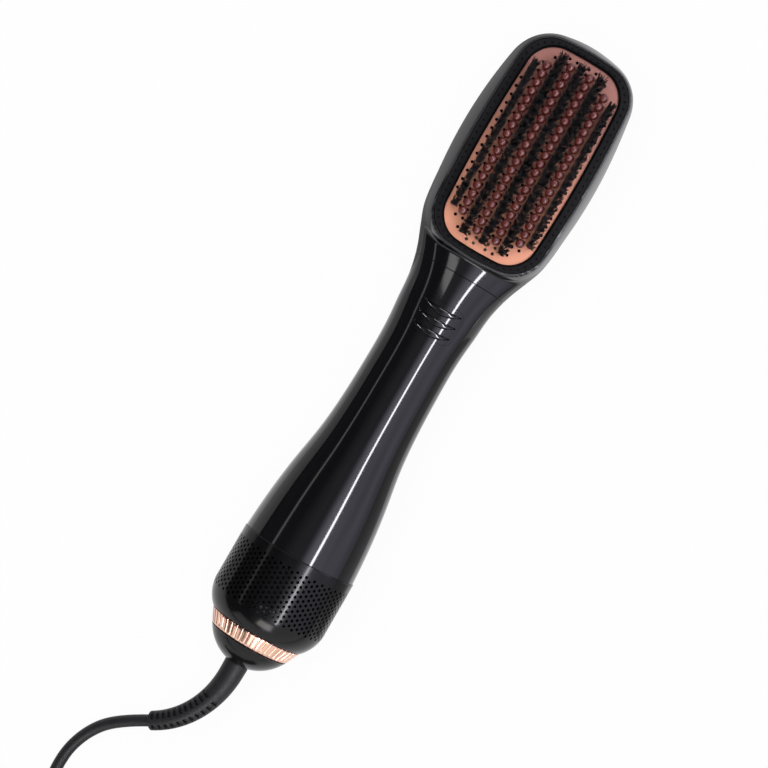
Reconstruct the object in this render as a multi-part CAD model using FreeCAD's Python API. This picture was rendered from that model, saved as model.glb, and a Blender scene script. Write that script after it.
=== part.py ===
import FreeCAD, Part
import math
import os

# Heated styling brush with a paddle head, lying on its back, in millimetres.
# +Y runs from the cord end to the head, +Z comes out of the bristle face.
# Pieces are drawn about the handle's axis, with stations measured from the tail,
# and are then set down on z = 0 with the middle of their length at y = 0.

# Walls and clearances
WALL = 2.2
SEAM = 0.4
SIDE_PLAY = 0.15
RUNNING_GAP = 0.3
BEARING_PLAY = 0.06
PRESS_PLAY = 0.02
OVERCUT = 2.0

# Tail cap and its hub
CAP_LENGTH = 9.0
CAP_CROWN = 2.4
CAP_RADIUS = 20.4
CAP_FLAT_RADIUS = 6.8
CAP_FLOOR = 4.6
GLAND_RADIUS = 5.0
HUB_RADIUS = 17.2
HUB_WALL = 2.0

# Selector ring, its drive peg and the switch disc behind it
RING_LENGTH = 7.0
RING_SMALL_RADIUS = 20.6
RING_LARGE_RADIUS = 24.0
RING_FLUTES = 48
FLUTE_RADIUS = 0.5
FLUTE_DEPTH = 0.35
PEG_RADIUS = 1.2
PEG_PITCH_RADIUS = 20.9
SELECTOR_TRAVEL = 90.0
SNAP_RING_THICKNESS = 1.2
SNAP_RING_DEPTH = 0.9
SNAP_RING_REACH = 1.5
SNAP_RING_MOUTH = 14.0
DISC_THICKNESS = 2.0
DISC_EDGE = 1.6
WIPER_HEIGHT = 1.4
WIPER_WIDTH = 2.0
WIPER_REACH = 3.0
BOARD_THICKNESS = 1.6
BOARD_RADIUS = 23.0
CAPACITOR_RADIUS = 6.0
CAPACITOR_LENGTH = 17.0
CAPACITOR_OFFSET = 11.0
LEAD_RADIUS = 1.2
LEAD_SPACING = 4.0

# Air intake
BASE_RADIUS = 29.8
INTAKE_LIP_RADIUS = 24.3
INTAKE_LENGTH = 41.2
INTAKE_SHOULDER = 14.6
SHOULDER_BULGE = 0.74
SHOULDER_BEND = 0.42
FLANGE_THICKNESS = 2.2
COLLAR_LENGTH = 5.2
COLLAR_STEP = 1.0
VENT_COLUMNS = 80
VENT_ROWS = 10
VENT_RADIUS = 0.75
VENT_PITCH = 2.65
VENT_START = 10.8
FILTER_THICKNESS = 0.6

# Handle: each station gives the share of its length and of the taper that is left there
HANDLE_LENGTH = 153.6
WAIST_RADIUS = 19.9
HANDLE_TAPER = [
    (0.00, 0.960),
    (0.10, 0.850),
    (0.20, 0.680),
    (0.29, 0.465),
    (0.36, 0.280),
    (0.43, 0.150),
    (0.52, 0.055),
    (0.64, 0.000),
]

# Neck: distance past the handle's end, then how far width, front and back have changed over
NECK_FRONT = 15.4
NECK_BACK = 26.0
NECK_FLARE = [
    (-32.0, 0.025, 0.10, 0.03),
    (-22.0, 0.080, 0.25, 0.10),
    (-10.0, 0.145, 0.46, 0.22),
    (0.0, 0.275, 0.66, 0.40),
    (6.0, 0.395, 0.78, 0.52),
    (12.0, 0.545, 0.90, 0.66),
    (22.0, 0.745, 1.00, 0.85),
    (46.0, 0.800, 1.00, 1.00),
]
TONGUE_LENGTH = 8.0
TONGUE_THICKNESS = 1.6

# Head outlines: half width, half length, radius of the sides, of the ends and of the corners
HEAD_OFFSET = 66.0
WIDEST = (36.2, 62.0, 230.0, 50.0, 23.6)
FACE = (31.2, 56.6, 500.0, 120.0, 17.8)
BACK = (19.0, 44.0, 300.0, 70.0, 14.0)
PLATE = (25.2, 52.2, 600.0, 160.0, 14.5)
FACE_HEIGHT = 18.0
LEVELS = [0.0, 0.35, 0.65, 0.86, 0.97, 1.0]
FRONT_CURVE = 1.3
BACK_CURVE = 2.0
RIM_WIDTH = 0.75
BEZEL_THICKNESS = 2.2
BEZEL_CHAMFER = 1.0
DIMPLE_RADIUS = 0.6
DIMPLE_DEPTH = 0.5
DIMPLE_PITCH = 3.4
PLATE_THICKNESS = 1.6
PLATE_FLANGE = 1.4
LEDGE_REACH = 1.2
LEDGE_THICKNESS = 1.8

# Bristle field
COLUMN_SPACING = 5.17
ROW_PITCH = 4.63
PIN_COUNTS = [18, 20, 20, 18]
PIN_STEM_RADIUS = 1.0
PIN_BALL_RADIUS = 2.2
PIN_HEIGHT = 12.5
TUFT_COUNTS = [17, 21, 21, 21, 17]
TUFT_RADIUS = 1.4
TUFT_TIP_RADIUS = 1.1
TUFT_HEIGHT = 13.4
RAIL_DEPTH = 1.8
RAIL_END = 1.8
PIN_HOLE_PLAY = 0.1
VENT_HOLE_RADIUS = 0.8
VENT_HOLE_OFFSET = 1.95
EDGE_VENT_X = 23.0
EDGE_VENT_COUNT = 14
END_VENTS = [(-7.12, 49.3), (-3.22, 49.3), (3.22, 49.3), (7.12, 49.3), (-13.56, 46.3), (13.56, 46.3)]

# Diffuser plate in the head
DIFFUSER_THICKNESS = 1.2
DIFFUSER_START = 22.0
DIFFUSER_HOLE = 2.2
DIFFUSER_PITCH = 9.5
DIFFUSER_COLUMNS = 5
DIFFUSER_ROWS = 8

# Screws and bosses: across the axis, then along it
HEAD_SCREWS = [(27.6, -27.0), (27.6, 27.0)]
HANDLE_SCREWS = [(17.6, 42.0), (15.0, 141.0)]
BOSS_RADIUS = 3.7
SCREW_HEAD_RADIUS = 2.5
SCREW_HEAD_HEIGHT = 2.0
SCREW_SHANK_RADIUS = 1.4
SCREW_PLAY = 0.1
SCREW_SEAT_DEPTH = 7.0
SCREW_REACH = 6.0
SCREW_CROSS = 0.7

# Fan, motor and the holder that carries them
FAN_GAP = 0.6
FAN_LENGTH = 9.6
FAN_HUB_RADIUS = 7.6
FAN_BLADES = 7
FAN_BLADE_CHORD = 8.6
FAN_BLADE_THICKNESS = 1.1
FAN_ROOT_ANGLE = 52.0
FAN_TIP_ANGLE = 33.0
HOLDER_WALL = 1.5
HOLDER_FLANGE = 2.0
HOLDER_LENGTH = 20.0
HOLDER_VANES = 6
HOLDER_CUP_LENGTH = 18.0
MOTOR_RADIUS = 12.0
MOTOR_WALL = 1.2
MOTOR_LENGTH = 28.0
BELL_LENGTH = 3.0
SHAFT_RADIUS = 1.15
MAGNET_THICKNESS = 1.5
MAGNET_GAP = 4.0
ARMATURE_GAP = 0.6
ARMATURE_LENGTH = 17.0

# Heater and outlet duct
LINER_GAP = 0.65
LINER_WALL = 0.6
LINER_LENGTH = 59.0
LINER_SETBACK = 99.6
MICA_THICKNESS = 0.8
MICA_LENGTH = 53.0
MICA_TAB = 3.0
WIRE_RADIUS = 0.4
WINDING_RADIUS = 13.2
WINDING_TURNS = 13
WINDING_PITCH = 3.2
DUCT_SOCKET = 5.0
DUCT_CONE = 6.5
DUCT_RADIUS = 10.2
DUCT_WALL = 1.1
DUCT_LENGTH = 67.0
THERMOSTAT = (6.0, 9.0, 5.0)
FUSE_RADIUS = 1.6
FUSE_LENGTH = 11.0

# Cool shot button on the front of the neck
BUTTON_SETBACK = 24.0
BUTTON_HALF_WIDTH = 11.6
BUTTON_HALF_LENGTH = 9.2
BUTTON_CORNER = 5.0
BUTTON_PLAY = 0.2
BUTTON_LIP = 0.9
BUTTON_DEPTH = 3.3
BUTTON_TRAVEL = 1.2
GROOVE_COUNT = 3
GROOVE_PITCH = 5.75
GROOVE_HALF_WIDTH = 10.4
GROOVE_RISE = 2.2
GROOVE_WIDTH = 1.9
GROOVE_DEPTH = 0.8
SWITCH_HALF = 1.8
SWITCH_HEIGHT = 1.6
PLUNGER_RADIUS = 1.0
KEY_PAD = 0.2
KEY_BOARD = (6.5, 5.5, 0.8)
RETURN_DOME_BASE = 4.6
RETURN_DOME_TOP = 3.3
RETURN_DOME_WALL = 0.5

# Wiring from the board past the fan to the heater
LOOM_RADIUS = 0.8
LOOM_SPACING = 2.4
LOOM_NOTCH = 6.0
LOOM_LEAD = 6.0

# Strain relief
RELIEF_ROOT_RADIUS = 6.1
RELIEF_END_RADIUS = 4.75
RELIEF_STRAIGHT = 5.1
RELIEF_BEND_RADIUS = 48.0
RELIEF_TURN = 60.0
RELIEF_DROP = 25.0
RELIEF_SMOOTH = 20.0
RELIEF_RIBS = 11
RELIEF_GROOVE_DEPTH = 0.9
RELIEF_GROOVE_SHARE = 0.5
RELIEF_SLOPE_SHARE = 0.1
RELIEF_FLANGE_RADIUS = 7.6
RELIEF_FLANGE = 2.0
RELIEF_STEPS = 8

# Cord, its coil, tie and plug
CORD_RADIUS = 3.0
BEND_SHARE = 0.45
FIRST_RUN = 18.5
ROUTE = [
    (-46.6, -241.2, 6.6),
    (-51.3, -258.6, 3.3),
    (-48.2, -282.1, 3.1),
    (-37.2, -303.3, 4.6),
    (-21.5, -320.2, 4.6),
]
COIL_TURNS = 7
COIL_OUTER_RADIUS = 46.5
COIL_PITCH = 6.6
COIL_STEPS = 24
COIL_BLEND = 0.25
COIL_SMALL_TURN = 0.0005
TAIL_RUN = 19.0
TAIL_BENDS = [(0.0, 0.0), (22.0, 1.5), (18.0, 0.0)]
PLUG_SECTIONS = [
    (0.0, 4.6, 4.6),
    (12.0, 6.2, 5.6),
    (25.0, 15.0, 9.0),
    (32.0, 17.4, 9.6),
    (42.0, 17.4, 9.6),
]
PLUG_PIN_RADIUS = 2.4
PLUG_PIN_LENGTH = 19.0
PLUG_PIN_SPACING = 19.0
TIE_WIDTH = 9.0
TIE_THICKNESS = 1.2
TIE_PLAY = 0.25
TIE_SAG = 0.8
TIE_TURN = 0.25

# Stations that follow from the sizes above
ring_start = CAP_LENGTH + RUNNING_GAP
ring_end = ring_start + RING_LENGTH
intake_start = ring_end + RUNNING_GAP
flange_end = intake_start + FLANGE_THICKNESS
snap_end = flange_end + SNAP_RING_THICKNESS
disc_start = snap_end + RUNNING_GAP
disc_end = disc_start + DISC_THICKNESS
hub_end = disc_end + WIPER_HEIGHT + RUNNING_GAP
board_end = hub_end + BOARD_THICKNESS
intake_end = intake_start + INTAKE_LENGTH
collar_end = intake_end + COLLAR_LENGTH
handle_start = intake_end + SEAM
handle_end = handle_start + HANDLE_LENGTH
head_start = handle_end + SEAM
head_centre = handle_end + HEAD_OFFSET
total_length = head_centre + WIDEST[1]
holder_start = collar_end
fan_start = holder_start + HOLDER_FLANGE + RUNNING_GAP
cup_start = fan_start + FAN_LENGTH + RUNNING_GAP
motor_start = cup_start + HOLDER_WALL
motor_end = motor_start + MOTOR_LENGTH
liner_end = handle_end - LINER_SETBACK + LINER_LENGTH
liner_start = handle_end - LINER_SETBACK
duct_start = liner_end - DUCT_SOCKET
duct_end = duct_start + DUCT_LENGTH
button_station = handle_end - BUTTON_SETBACK

# Radii that follow from the sizes above
collar_radius = BASE_RADIUS - WALL - COLLAR_STEP
collar_bore = collar_radius - WALL
fan_wall = collar_bore - 2 * (LOOM_RADIUS + SIDE_PLAY)
fan_bore = fan_wall - HOLDER_WALL
fan_radius = fan_bore - FAN_GAP
socket_radius = WAIST_RADIUS - WALL - LINER_GAP
liner_radius = socket_radius - LINER_WALL - SIDE_PLAY

# Heights in the head, from the handle's axis
bezel_seat = FACE_HEIGHT - BEZEL_THICKNESS
plate_seat = bezel_seat - PLATE_THICKNESS
ledge_under = plate_seat - LEDGE_THICKNESS
floor_depth = BASE_RADIUS

set_down = FreeCAD.Vector(0, (CAP_CROWN - total_length) / 2, floor_depth)


# Plain solids


def vec(x, y, z=0.0):
    return FreeCAD.Vector(x, y, z)


def rod(radius, start, end, x=0.0, z=0.0):
    return Part.makeCylinder(radius, end - start, vec(x, start, z), vec(0, 1, 0))


def tube(outer, inner, start, end):
    return rod(outer, start, end).cut(rod(inner, start - OVERCUT, end + OVERCUT))


def post(radius, x, y, low, high):
    return Part.makeCylinder(radius, high - low, vec(x, y, low))


def block(x, y, z):
    return Part.makeBox(x[1] - x[0], y[1] - y[0], z[1] - z[0], vec(x[0], y[0], z[0]))


def turned(edges, angle=360.0):
    face = Part.Face(Part.Wire(edges))
    return face.revolve(vec(0, 0), vec(0, 1), angle)


def lines(points):
    return [Part.makeLine(vec(*a), vec(*b)) for a, b in zip(points, points[1:])]


def arc(a, b, c):
    return Part.Arc(vec(*a), vec(*b), vec(*c)).toShape()


def about_axis(shape, angle):
    copy = shape.copy()
    copy.rotate(vec(0, 0), vec(0, 1), angle)
    return copy


def mirrored(shape):
    return shape.mirror(vec(0, 0), vec(1, 0))


def slab(start, end, low=-total_length, high=total_length):
    return block((-total_length, total_length), (start, end), (low, high))


def fused(shapes):
    whole = shapes[0].fuse(shapes[1:])
    return whole.removeSplitter()


# Handle and neck body, a loft of oval sections along the axis


def body_stations():
    stations = []
    for share, left in HANDLE_TAPER:
        radius = WAIST_RADIUS + (BASE_RADIUS - WAIST_RADIUS) * left
        stations.append((handle_start + HANDLE_LENGTH * share, radius, radius, radius))
    for past, wide, front, back in NECK_FLARE:
        half_width = WAIST_RADIUS + (WIDEST[0] - WAIST_RADIUS) * wide
        rise = WAIST_RADIUS + (NECK_FRONT - WAIST_RADIUS) * front
        depth = WAIST_RADIUS + (NECK_BACK - WAIST_RADIUS) * back
        stations.append((handle_end + past, half_width, rise, depth))
    return stations


def half_oval(station, half_width, rise):
    edge = Part.Arc(vec(1, 0), vec(0, 0, 1), vec(-1, 0)).toShape()
    stretch = FreeCAD.Matrix()
    stretch.A11 = half_width
    stretch.A33 = rise
    edge = edge.transformGeometry(stretch)
    edge.translate(vec(0, station))
    return edge


def oval(station, half_width, rise, depth):
    return Part.Wire([half_oval(station, half_width, rise), half_oval(station, half_width, -depth)])


body_cache = {}


def body(inset):
    if inset not in body_cache:
        wires = [
            oval(s, w - inset, rise - inset, depth - inset)
            for s, w, rise, depth in body_stations()
        ]
        body_cache[inset] = Part.makeLoft(wires, True, False)
    return body_cache[inset]


def front_of(shape):
    return shape.common(slab(-OVERCUT, total_length, 0.0))


def back_of(shape):
    return shape.common(slab(-OVERCUT, total_length, high=0.0))


# Head outlines: bowed sides and ends joined by tangent corner arcs


def outline(size, inset, height):
    half_width, half_length, side_radius, end_radius, corner_radius = size
    side = vec(half_width - side_radius, 0)
    end = vec(0, half_length - end_radius)
    reach_side = side_radius - corner_radius
    reach_end = end_radius - corner_radius
    apart = side.distanceToPoint(end)
    along = (reach_side**2 - reach_end**2 + apart**2) / (2 * apart)
    across = math.sqrt(reach_side**2 - along**2)
    way = (end - side).normalize()
    corner = side + way * along + vec(way.y, -way.x) * across
    if corner.x < 0 or corner.y < 0:
        corner = side + way * along - vec(way.y, -way.x) * across
    on_side = side + (corner - side).normalize() * (side_radius - inset)
    on_end = end + (corner - end).normalize() * (end_radius - inset)
    knee = (on_side - corner).normalize() + (on_end - corner).normalize()
    on_knee = corner + knee.normalize() * (corner_radius - inset)

    def at(point, x_sign, y_sign):
        return vec(x_sign * point.x, head_centre + y_sign * point.y, height)

    wide = vec(half_width - inset, 0)
    long = vec(0, half_length - inset)
    edges = []
    for x, y in [(1, 1), (-1, -1)]:
        side_low, side_high = at(on_side, x, -y), at(on_side, x, y)
        end_near, end_far = at(on_end, x, y), at(on_end, -x, y)
        edges.append(Part.Arc(side_low, at(wide, x, 0), side_high))
        edges.append(Part.Arc(side_high, at(on_knee, x, y), end_near))
        edges.append(Part.Arc(end_near, at(long, 0, y), end_far))
        edges.append(Part.Arc(end_far, at(on_knee, -x, y), at(on_side, -x, y)))
    return Part.Wire([edge.toShape() for edge in edges])


def drum(size, inset, low, high):
    return Part.Face(outline(size, inset, low)).extrude(vec(0, 0, high - low))


def bowl(rim, height, inset, reach):
    curve = FRONT_CURVE if height > 0 else BACK_CURVE
    wires = []
    for level in [share for share in LEVELS if share < reach] + [reach]:
        left = (1 - level**curve) ** (1 / curve)
        size = [r + (w - r) * left for r, w in zip(rim, WIDEST)]
        wires.append(outline(size, inset, height * level))
    return Part.makeLoft(wires, True, False)


# Screws and the bosses that take them


def screw_places():
    places = [(x, head_centre + y) for x, y in HEAD_SCREWS]
    return places, [(x, handle_start + y) for x, y in HANDLE_SCREWS]


def screw(x, y):
    low = -SCREW_SEAT_DEPTH - SCREW_HEAD_HEIGHT
    head = post(SCREW_HEAD_RADIUS, x, y, low, -SCREW_SEAT_DEPTH)
    shank = post(SCREW_SHANK_RADIUS, x, y, -SCREW_SEAT_DEPTH - SCREW_CROSS, SCREW_REACH)
    cross = (-SCREW_CROSS / 2, SCREW_CROSS / 2)
    arm = (-SCREW_HEAD_RADIUS * SCREW_CROSS, SCREW_HEAD_RADIUS * SCREW_CROSS)
    slot = block(cross, arm, (low, low + SCREW_HEAD_HEIGHT / 2))
    slots = slot.fuse(block(arm, cross, (low, low + SCREW_HEAD_HEIGHT / 2)))
    slots.translate(vec(x, y))
    return head.fuse(shank).cut(slots).removeSplitter()


def screws(places):
    right = [screw(x, y) for x, y in places]
    return Part.makeCompound(right + [mirrored(shape) for shape in right])


def both_sides(places):
    return [(side * x, y) for x, y in places for side in (1, -1)]


def with_back_bosses(shell, solid, places, top):
    bosses = [post(BOSS_RADIUS, x, y, -floor_depth, top) for x, y in both_sides(places)]
    whole = fused([shell] + [boss.common(solid) for boss in bosses])
    seats = [
        post(SCREW_HEAD_RADIUS + SCREW_PLAY, x, y, -floor_depth - OVERCUT, -SCREW_SEAT_DEPTH)
        for x, y in both_sides(places)
    ]
    bores = [
        post(SCREW_SHANK_RADIUS + SCREW_PLAY, x, y, -floor_depth, OVERCUT)
        for x, y in both_sides(places)
    ]
    return whole.cut(seats + bores)


def with_front_bosses(shell, solid, places):
    bosses = [post(BOSS_RADIUS, x, y, 0.0, floor_depth).common(solid) for x, y in both_sides(places)]
    bores = [
        post(SCREW_SHANK_RADIUS + PRESS_PLAY, x, y, -OVERCUT, SCREW_REACH + SCREW_PLAY)
        for x, y in both_sides(places)
    ]
    return fused([shell] + bosses).cut(bores)


# Head


def tongue():
    outer = WALL + SIDE_PLAY
    sleeve = body(outer).cut(body(outer + TONGUE_THICKNESS))
    sleeve = sleeve.common(slab(head_start - TONGUE_LENGTH, head_start))
    root = body(WALL / 2).cut(body(outer + TONGUE_THICKNESS))
    return sleeve.fuse(root.common(slab(head_start, head_start + WALL)))


def head_front_shell():
    neck = slab(head_start, head_centre)
    outer = fused([bowl(FACE, FACE_HEIGHT, 0.0, 1.0), front_of(body(0).common(neck))])
    reach = ledge_under / FACE_HEIGHT
    inner = bowl(FACE, FACE_HEIGHT, WALL, reach)
    hollow = fused([inner, front_of(body(WALL))])
    shell = outer.cut(hollow)
    keep = drum(FACE, WALL / 2, 0.0, ledge_under + LEDGE_THICKNESS / 2)
    head_places, _ = screw_places()
    shell = with_front_bosses(shell, keep, head_places)
    shell = fused([shell, front_of(tongue())])
    recess = drum(FACE, RIM_WIDTH, bezel_seat, FACE_HEIGHT + OVERCUT)
    seat = drum(PLATE, -PLATE_FLANGE - SIDE_PLAY, plate_seat, bezel_seat)
    mouth = drum(PLATE, LEDGE_REACH, ledge_under - OVERCUT, plate_seat)
    return shell.cut([recess, seat, mouth])


def head_rear_shell():
    neck = slab(head_start, head_centre)
    outer = fused([bowl(BACK, -floor_depth, 0.0, 1.0), back_of(body(0).common(neck))])
    inner = bowl(BACK, -floor_depth + WALL, WALL, 1.0)
    hollow = fused([inner, back_of(body(WALL))])
    shell = outer.cut(hollow)
    head_places, _ = screw_places()
    keep = bowl(BACK, -floor_depth, WALL / 2, 1.0)
    shell = with_back_bosses(shell, keep, head_places, -DIFFUSER_THICKNESS)
    return fused([shell, back_of(tongue())])


def bezel_ring():
    outer = drum(FACE, RIM_WIDTH + SIDE_PLAY, bezel_seat, FACE_HEIGHT)
    slope = Part.makeLoft(
        [outline(PLATE, 0.0, FACE_HEIGHT - BEZEL_CHAMFER), outline(PLATE, -BEZEL_CHAMFER, FACE_HEIGHT)],
        True,
        True,
    )
    ring = outer.cut([drum(PLATE, 0.0, bezel_seat, FACE_HEIGHT), slope])
    mid = (FACE[0] - RIM_WIDTH - PLATE[0] - BEZEL_CHAMFER) / 2
    row = outline(FACE, RIM_WIDTH + mid, FACE_HEIGHT)
    spots = row.discretize(Number=int(row.Length / DIMPLE_PITCH) + 1)[:-1]
    dimples = [post(DIMPLE_RADIUS, p.x, p.y, p.z - DIMPLE_DEPTH, p.z + OVERCUT) for p in spots]
    return ring.cut(dimples)


def column(count):
    return [head_centre + (i - (count - 1) / 2) * ROW_PITCH for i in range(count)]


def pin_columns():
    return [((2 * i - 3) * COLUMN_SPACING, column(n)) for i, n in enumerate(PIN_COUNTS)]


def tuft_columns():
    return [((2 * i - 4) * COLUMN_SPACING, column(n)) for i, n in enumerate(TUFT_COUNTS)]


def hole(x, y, radius):
    return Part.Wire([Part.makeCircle(radius, vec(x, y, plate_seat))])


def bristle_plate():
    holes = []
    for x, rows in pin_columns():
        holes += [hole(x, y, PIN_STEM_RADIUS + PIN_HOLE_PLAY) for y in rows]
        between = [rows[0] - ROW_PITCH / 2] + [y + ROW_PITCH / 2 for y in rows]
        for side in (-VENT_HOLE_OFFSET, VENT_HOLE_OFFSET):
            holes += [hole(x + side, y, VENT_HOLE_RADIUS) for y in between]
    for x, rows in tuft_columns():
        holes += [hole(x, y, TUFT_RADIUS + PIN_HOLE_PLAY) for y in rows]
    for x in (-EDGE_VENT_X, EDGE_VENT_X):
        holes += [hole(x, y, VENT_HOLE_RADIUS) for y in column(EDGE_VENT_COUNT)]
    for x, y in END_VENTS:
        holes += [hole(x, head_centre + side * y, VENT_HOLE_RADIUS) for side in (-1, 1)]
    edge = outline(PLATE, -PLATE_FLANGE, plate_seat)
    flange = Part.makeFace([edge] + holes, "Part::FaceMakerBullseye")
    return flange.extrude(vec(0, 0, PLATE_THICKNESS))


def rail(x, rows, half_width):
    ends = (rows[0] - RAIL_END, rows[-1] + RAIL_END)
    return block((x - half_width, x + half_width), ends, (plate_seat - RAIL_DEPTH, plate_seat))


def ball_pin(x, y):
    top = bezel_seat + PIN_HEIGHT
    foot = plate_seat - RAIL_DEPTH / 2
    stem = post(PIN_STEM_RADIUS, x, y, foot, top - PIN_BALL_RADIUS)
    return stem.fuse(Part.makeSphere(PIN_BALL_RADIUS, vec(x, y, top - PIN_BALL_RADIUS)))


def tuft(x, y):
    foot = plate_seat - RAIL_DEPTH / 2
    shaft = post(TUFT_RADIUS, x, y, foot, bezel_seat)
    brush = Part.makeCone(TUFT_RADIUS, TUFT_TIP_RADIUS, TUFT_HEIGHT, vec(x, y, bezel_seat))
    return shaft.fuse(brush)


def strip(x, rows, half_width, bristle):
    return fused([rail(x, rows, half_width)] + [bristle(x, y) for y in rows])


def diffuser_plate():
    plate = drum(WIDEST, WALL + RUNNING_GAP, -DIFFUSER_THICKNESS, 0.0)
    start = handle_end + DIFFUSER_START
    plate = plate.common(slab(start, total_length))
    holes = []
    for i in range(DIFFUSER_COLUMNS):
        x = (i - (DIFFUSER_COLUMNS - 1) / 2) * DIFFUSER_PITCH
        for j in range(DIFFUSER_ROWS):
            y = head_centre + (j + 1 - DIFFUSER_ROWS / 2) * DIFFUSER_PITCH
            holes.append(post(DIFFUSER_HOLE, x, y, -OVERCUT, OVERCUT))
    head_places, _ = screw_places()
    for x, y in both_sides(head_places):
        holes.append(post(SCREW_SHANK_RADIUS + SCREW_PLAY, x, y, -OVERCUT, OVERCUT))
    return plate.cut(holes)


# Handle shells


def handle_shell():
    span = slab(handle_start, handle_end)
    return body(0).cut(body(WALL)).common(span), body(WALL / 2).common(span)


def handle_front_shell():
    shell, solid = handle_shell()
    _, places = screw_places()
    shell = with_front_bosses(front_of(shell), front_of(solid), places)
    return shell.cut(button_prism(0.0))


def handle_rear_shell():
    shell, solid = handle_shell()
    _, places = screw_places()
    return with_back_bosses(back_of(shell), back_of(solid), places, 0.0)


# Button on the neck


def button_prism(grow):
    wide = BUTTON_HALF_WIDTH + grow
    long = BUTTON_HALF_LENGTH + grow
    sides = (button_station - long, button_station + long)
    prism = block((-wide, wide), sides, (0.0, floor_depth))
    upright = [edge for edge in prism.Edges if abs(edge.tangentAt(edge.FirstParameter).z) > 0.5]
    return prism.makeFillet(BUTTON_CORNER + grow, upright)


def groove(index):
    middle = button_station + (index - (GROOVE_COUNT - 1) / 2) * GROOVE_PITCH - GROOVE_RISE / 2
    left = (-GROOVE_HALF_WIDTH, middle + GROOVE_RISE)
    right = (GROOVE_HALF_WIDTH, middle + GROOVE_RISE)
    low = arc(left, (0.0, middle - GROOVE_WIDTH / 2), right)
    high = arc(right, (0.0, middle + GROOVE_WIDTH / 2), left)
    crescent = Part.Face(Part.Wire([low, high])).extrude(vec(0, 0, floor_depth))
    return crescent.cut(body(GROOVE_DEPTH))


def cool_button():
    cap = button_prism(-BUTTON_PLAY).common(body(0)).cut(body(BUTTON_DEPTH))
    lip = button_prism(BUTTON_LIP).common(body(WALL + RUNNING_GAP)).cut(body(BUTTON_DEPTH))
    return fused([cap, lip]).cut([groove(i) for i in range(GROOVE_COUNT)])


def key_heights():
    before = [s for s in body_stations() if s[0] <= button_station][-1]
    after = [s for s in body_stations() if s[0] > button_station][0]
    share = (button_station - before[0]) / (after[0] - before[0])
    under = before[2] + (after[2] - before[2]) * share - BUTTON_DEPTH
    top = under - BUTTON_TRAVEL - SIDE_PLAY
    foot = DUCT_RADIUS + KEY_PAD + KEY_BOARD[2]
    return under, top, foot


def key_switch():
    _, top, foot = key_heights()
    half = (-SWITCH_HALF, SWITCH_HALF)
    along = (button_station - SWITCH_HALF, button_station + SWITCH_HALF)
    case = block(half, along, (foot, foot + SWITCH_HEIGHT))
    return case.fuse(post(PLUNGER_RADIUS, 0.0, button_station, foot, top)).removeSplitter()


def key_board():
    _, _, foot = key_heights()
    wide, long, thick = KEY_BOARD
    return block((-wide, wide), (button_station - long, button_station + long), (foot - thick, foot))


def return_dome():
    under, _, foot = key_heights()
    height = under - 2 * RUNNING_GAP - foot
    place = vec(0, button_station, foot)
    outer = Part.makeCone(RETURN_DOME_BASE, RETURN_DOME_TOP, height, place)
    wall = RETURN_DOME_WALL
    return outer.cut(Part.makeCone(RETURN_DOME_BASE - wall, RETURN_DOME_TOP - wall, height, place))


# Heater and duct


def heater_liner():
    return tube(liner_radius, liner_radius - LINER_WALL, liner_start, liner_end)


def mica_cross():
    bore = liner_radius - LINER_WALL - SIDE_PLAY
    core = WINDING_RADIUS - WIRE_RADIUS - SIDE_PLAY
    start = liner_start + (LINER_LENGTH - MICA_LENGTH) / 2
    end = start + MICA_LENGTH
    thin = (-MICA_THICKNESS / 2, MICA_THICKNESS / 2)
    card = block((-core, core), (start, end), thin)
    for tab in (start, end - MICA_TAB):
        card = card.fuse(block((-bore, bore), (tab, tab + MICA_TAB), thin))
    return fused([card, about_axis(card, 90.0)]).common(rod(bore, start, end))


def outlet_duct():
    socket = liner_radius + SIDE_PLAY
    cone_end = liner_end + DUCT_CONE
    bore = DUCT_RADIUS - DUCT_WALL
    profile = [
        (socket, duct_start),
        (socket_radius, duct_start),
        (socket_radius, liner_end),
        (DUCT_RADIUS, cone_end),
        (DUCT_RADIUS, duct_end),
        (bore, duct_end),
        (bore, cone_end),
        (liner_radius - LINER_WALL, liner_end),
        (socket, liner_end),
        (socket, duct_start),
    ]
    wide, long, _ = KEY_BOARD
    along = (button_station - long, button_station + long)
    pad = block((-wide, wide), along, (0.0, DUCT_RADIUS + KEY_PAD))
    return fused([turned(lines(profile)), pad.cut(rod(bore, duct_start, duct_end))])


def thermostat():
    wide, long, tall = THERMOSTAT
    edge = MICA_THICKNESS / 2
    middle = liner_start + LINER_LENGTH / 2
    return block((edge, edge + wide), (middle, middle + long), (edge, edge + tall))


def thermal_fuse():
    offset = -MICA_THICKNESS / 2 - SIDE_PLAY - FUSE_RADIUS
    middle = liner_start + LINER_LENGTH / 2
    return rod(FUSE_RADIUS, middle, middle + FUSE_LENGTH, offset, offset)


# Fan and motor


def motor_holder():
    cup = MOTOR_RADIUS + SIDE_PLAY
    flange_radius = collar_radius - RUNNING_GAP
    flange = tube(flange_radius, fan_bore, holder_start, holder_start + HOLDER_FLANGE)
    duct = tube(fan_wall, fan_bore, holder_start, holder_start + HOLDER_LENGTH)
    floor = tube(cup + HOLDER_WALL, MOTOR_RADIUS / 3, cup_start, motor_start)
    wall = tube(cup + HOLDER_WALL, cup, cup_start, cup_start + HOLDER_CUP_LENGTH)
    half = HOLDER_WALL / 2
    vane = block(
        (-half, half),
        (cup_start, holder_start + HOLDER_LENGTH),
        (cup + half, fan_bore + half),
    )
    vanes = [about_axis(vane, i * 360.0 / HOLDER_VANES) for i in range(HOLDER_VANES)]
    notch_sides = (-LOOM_NOTCH / 2, LOOM_NOTCH / 2)
    notch_depth = (-BASE_RADIUS, -fan_wall)
    notch = block(notch_sides, (holder_start - OVERCUT, fan_start), notch_depth)
    return fused([flange, duct, floor, wall] + vanes).cut(notch)


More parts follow.
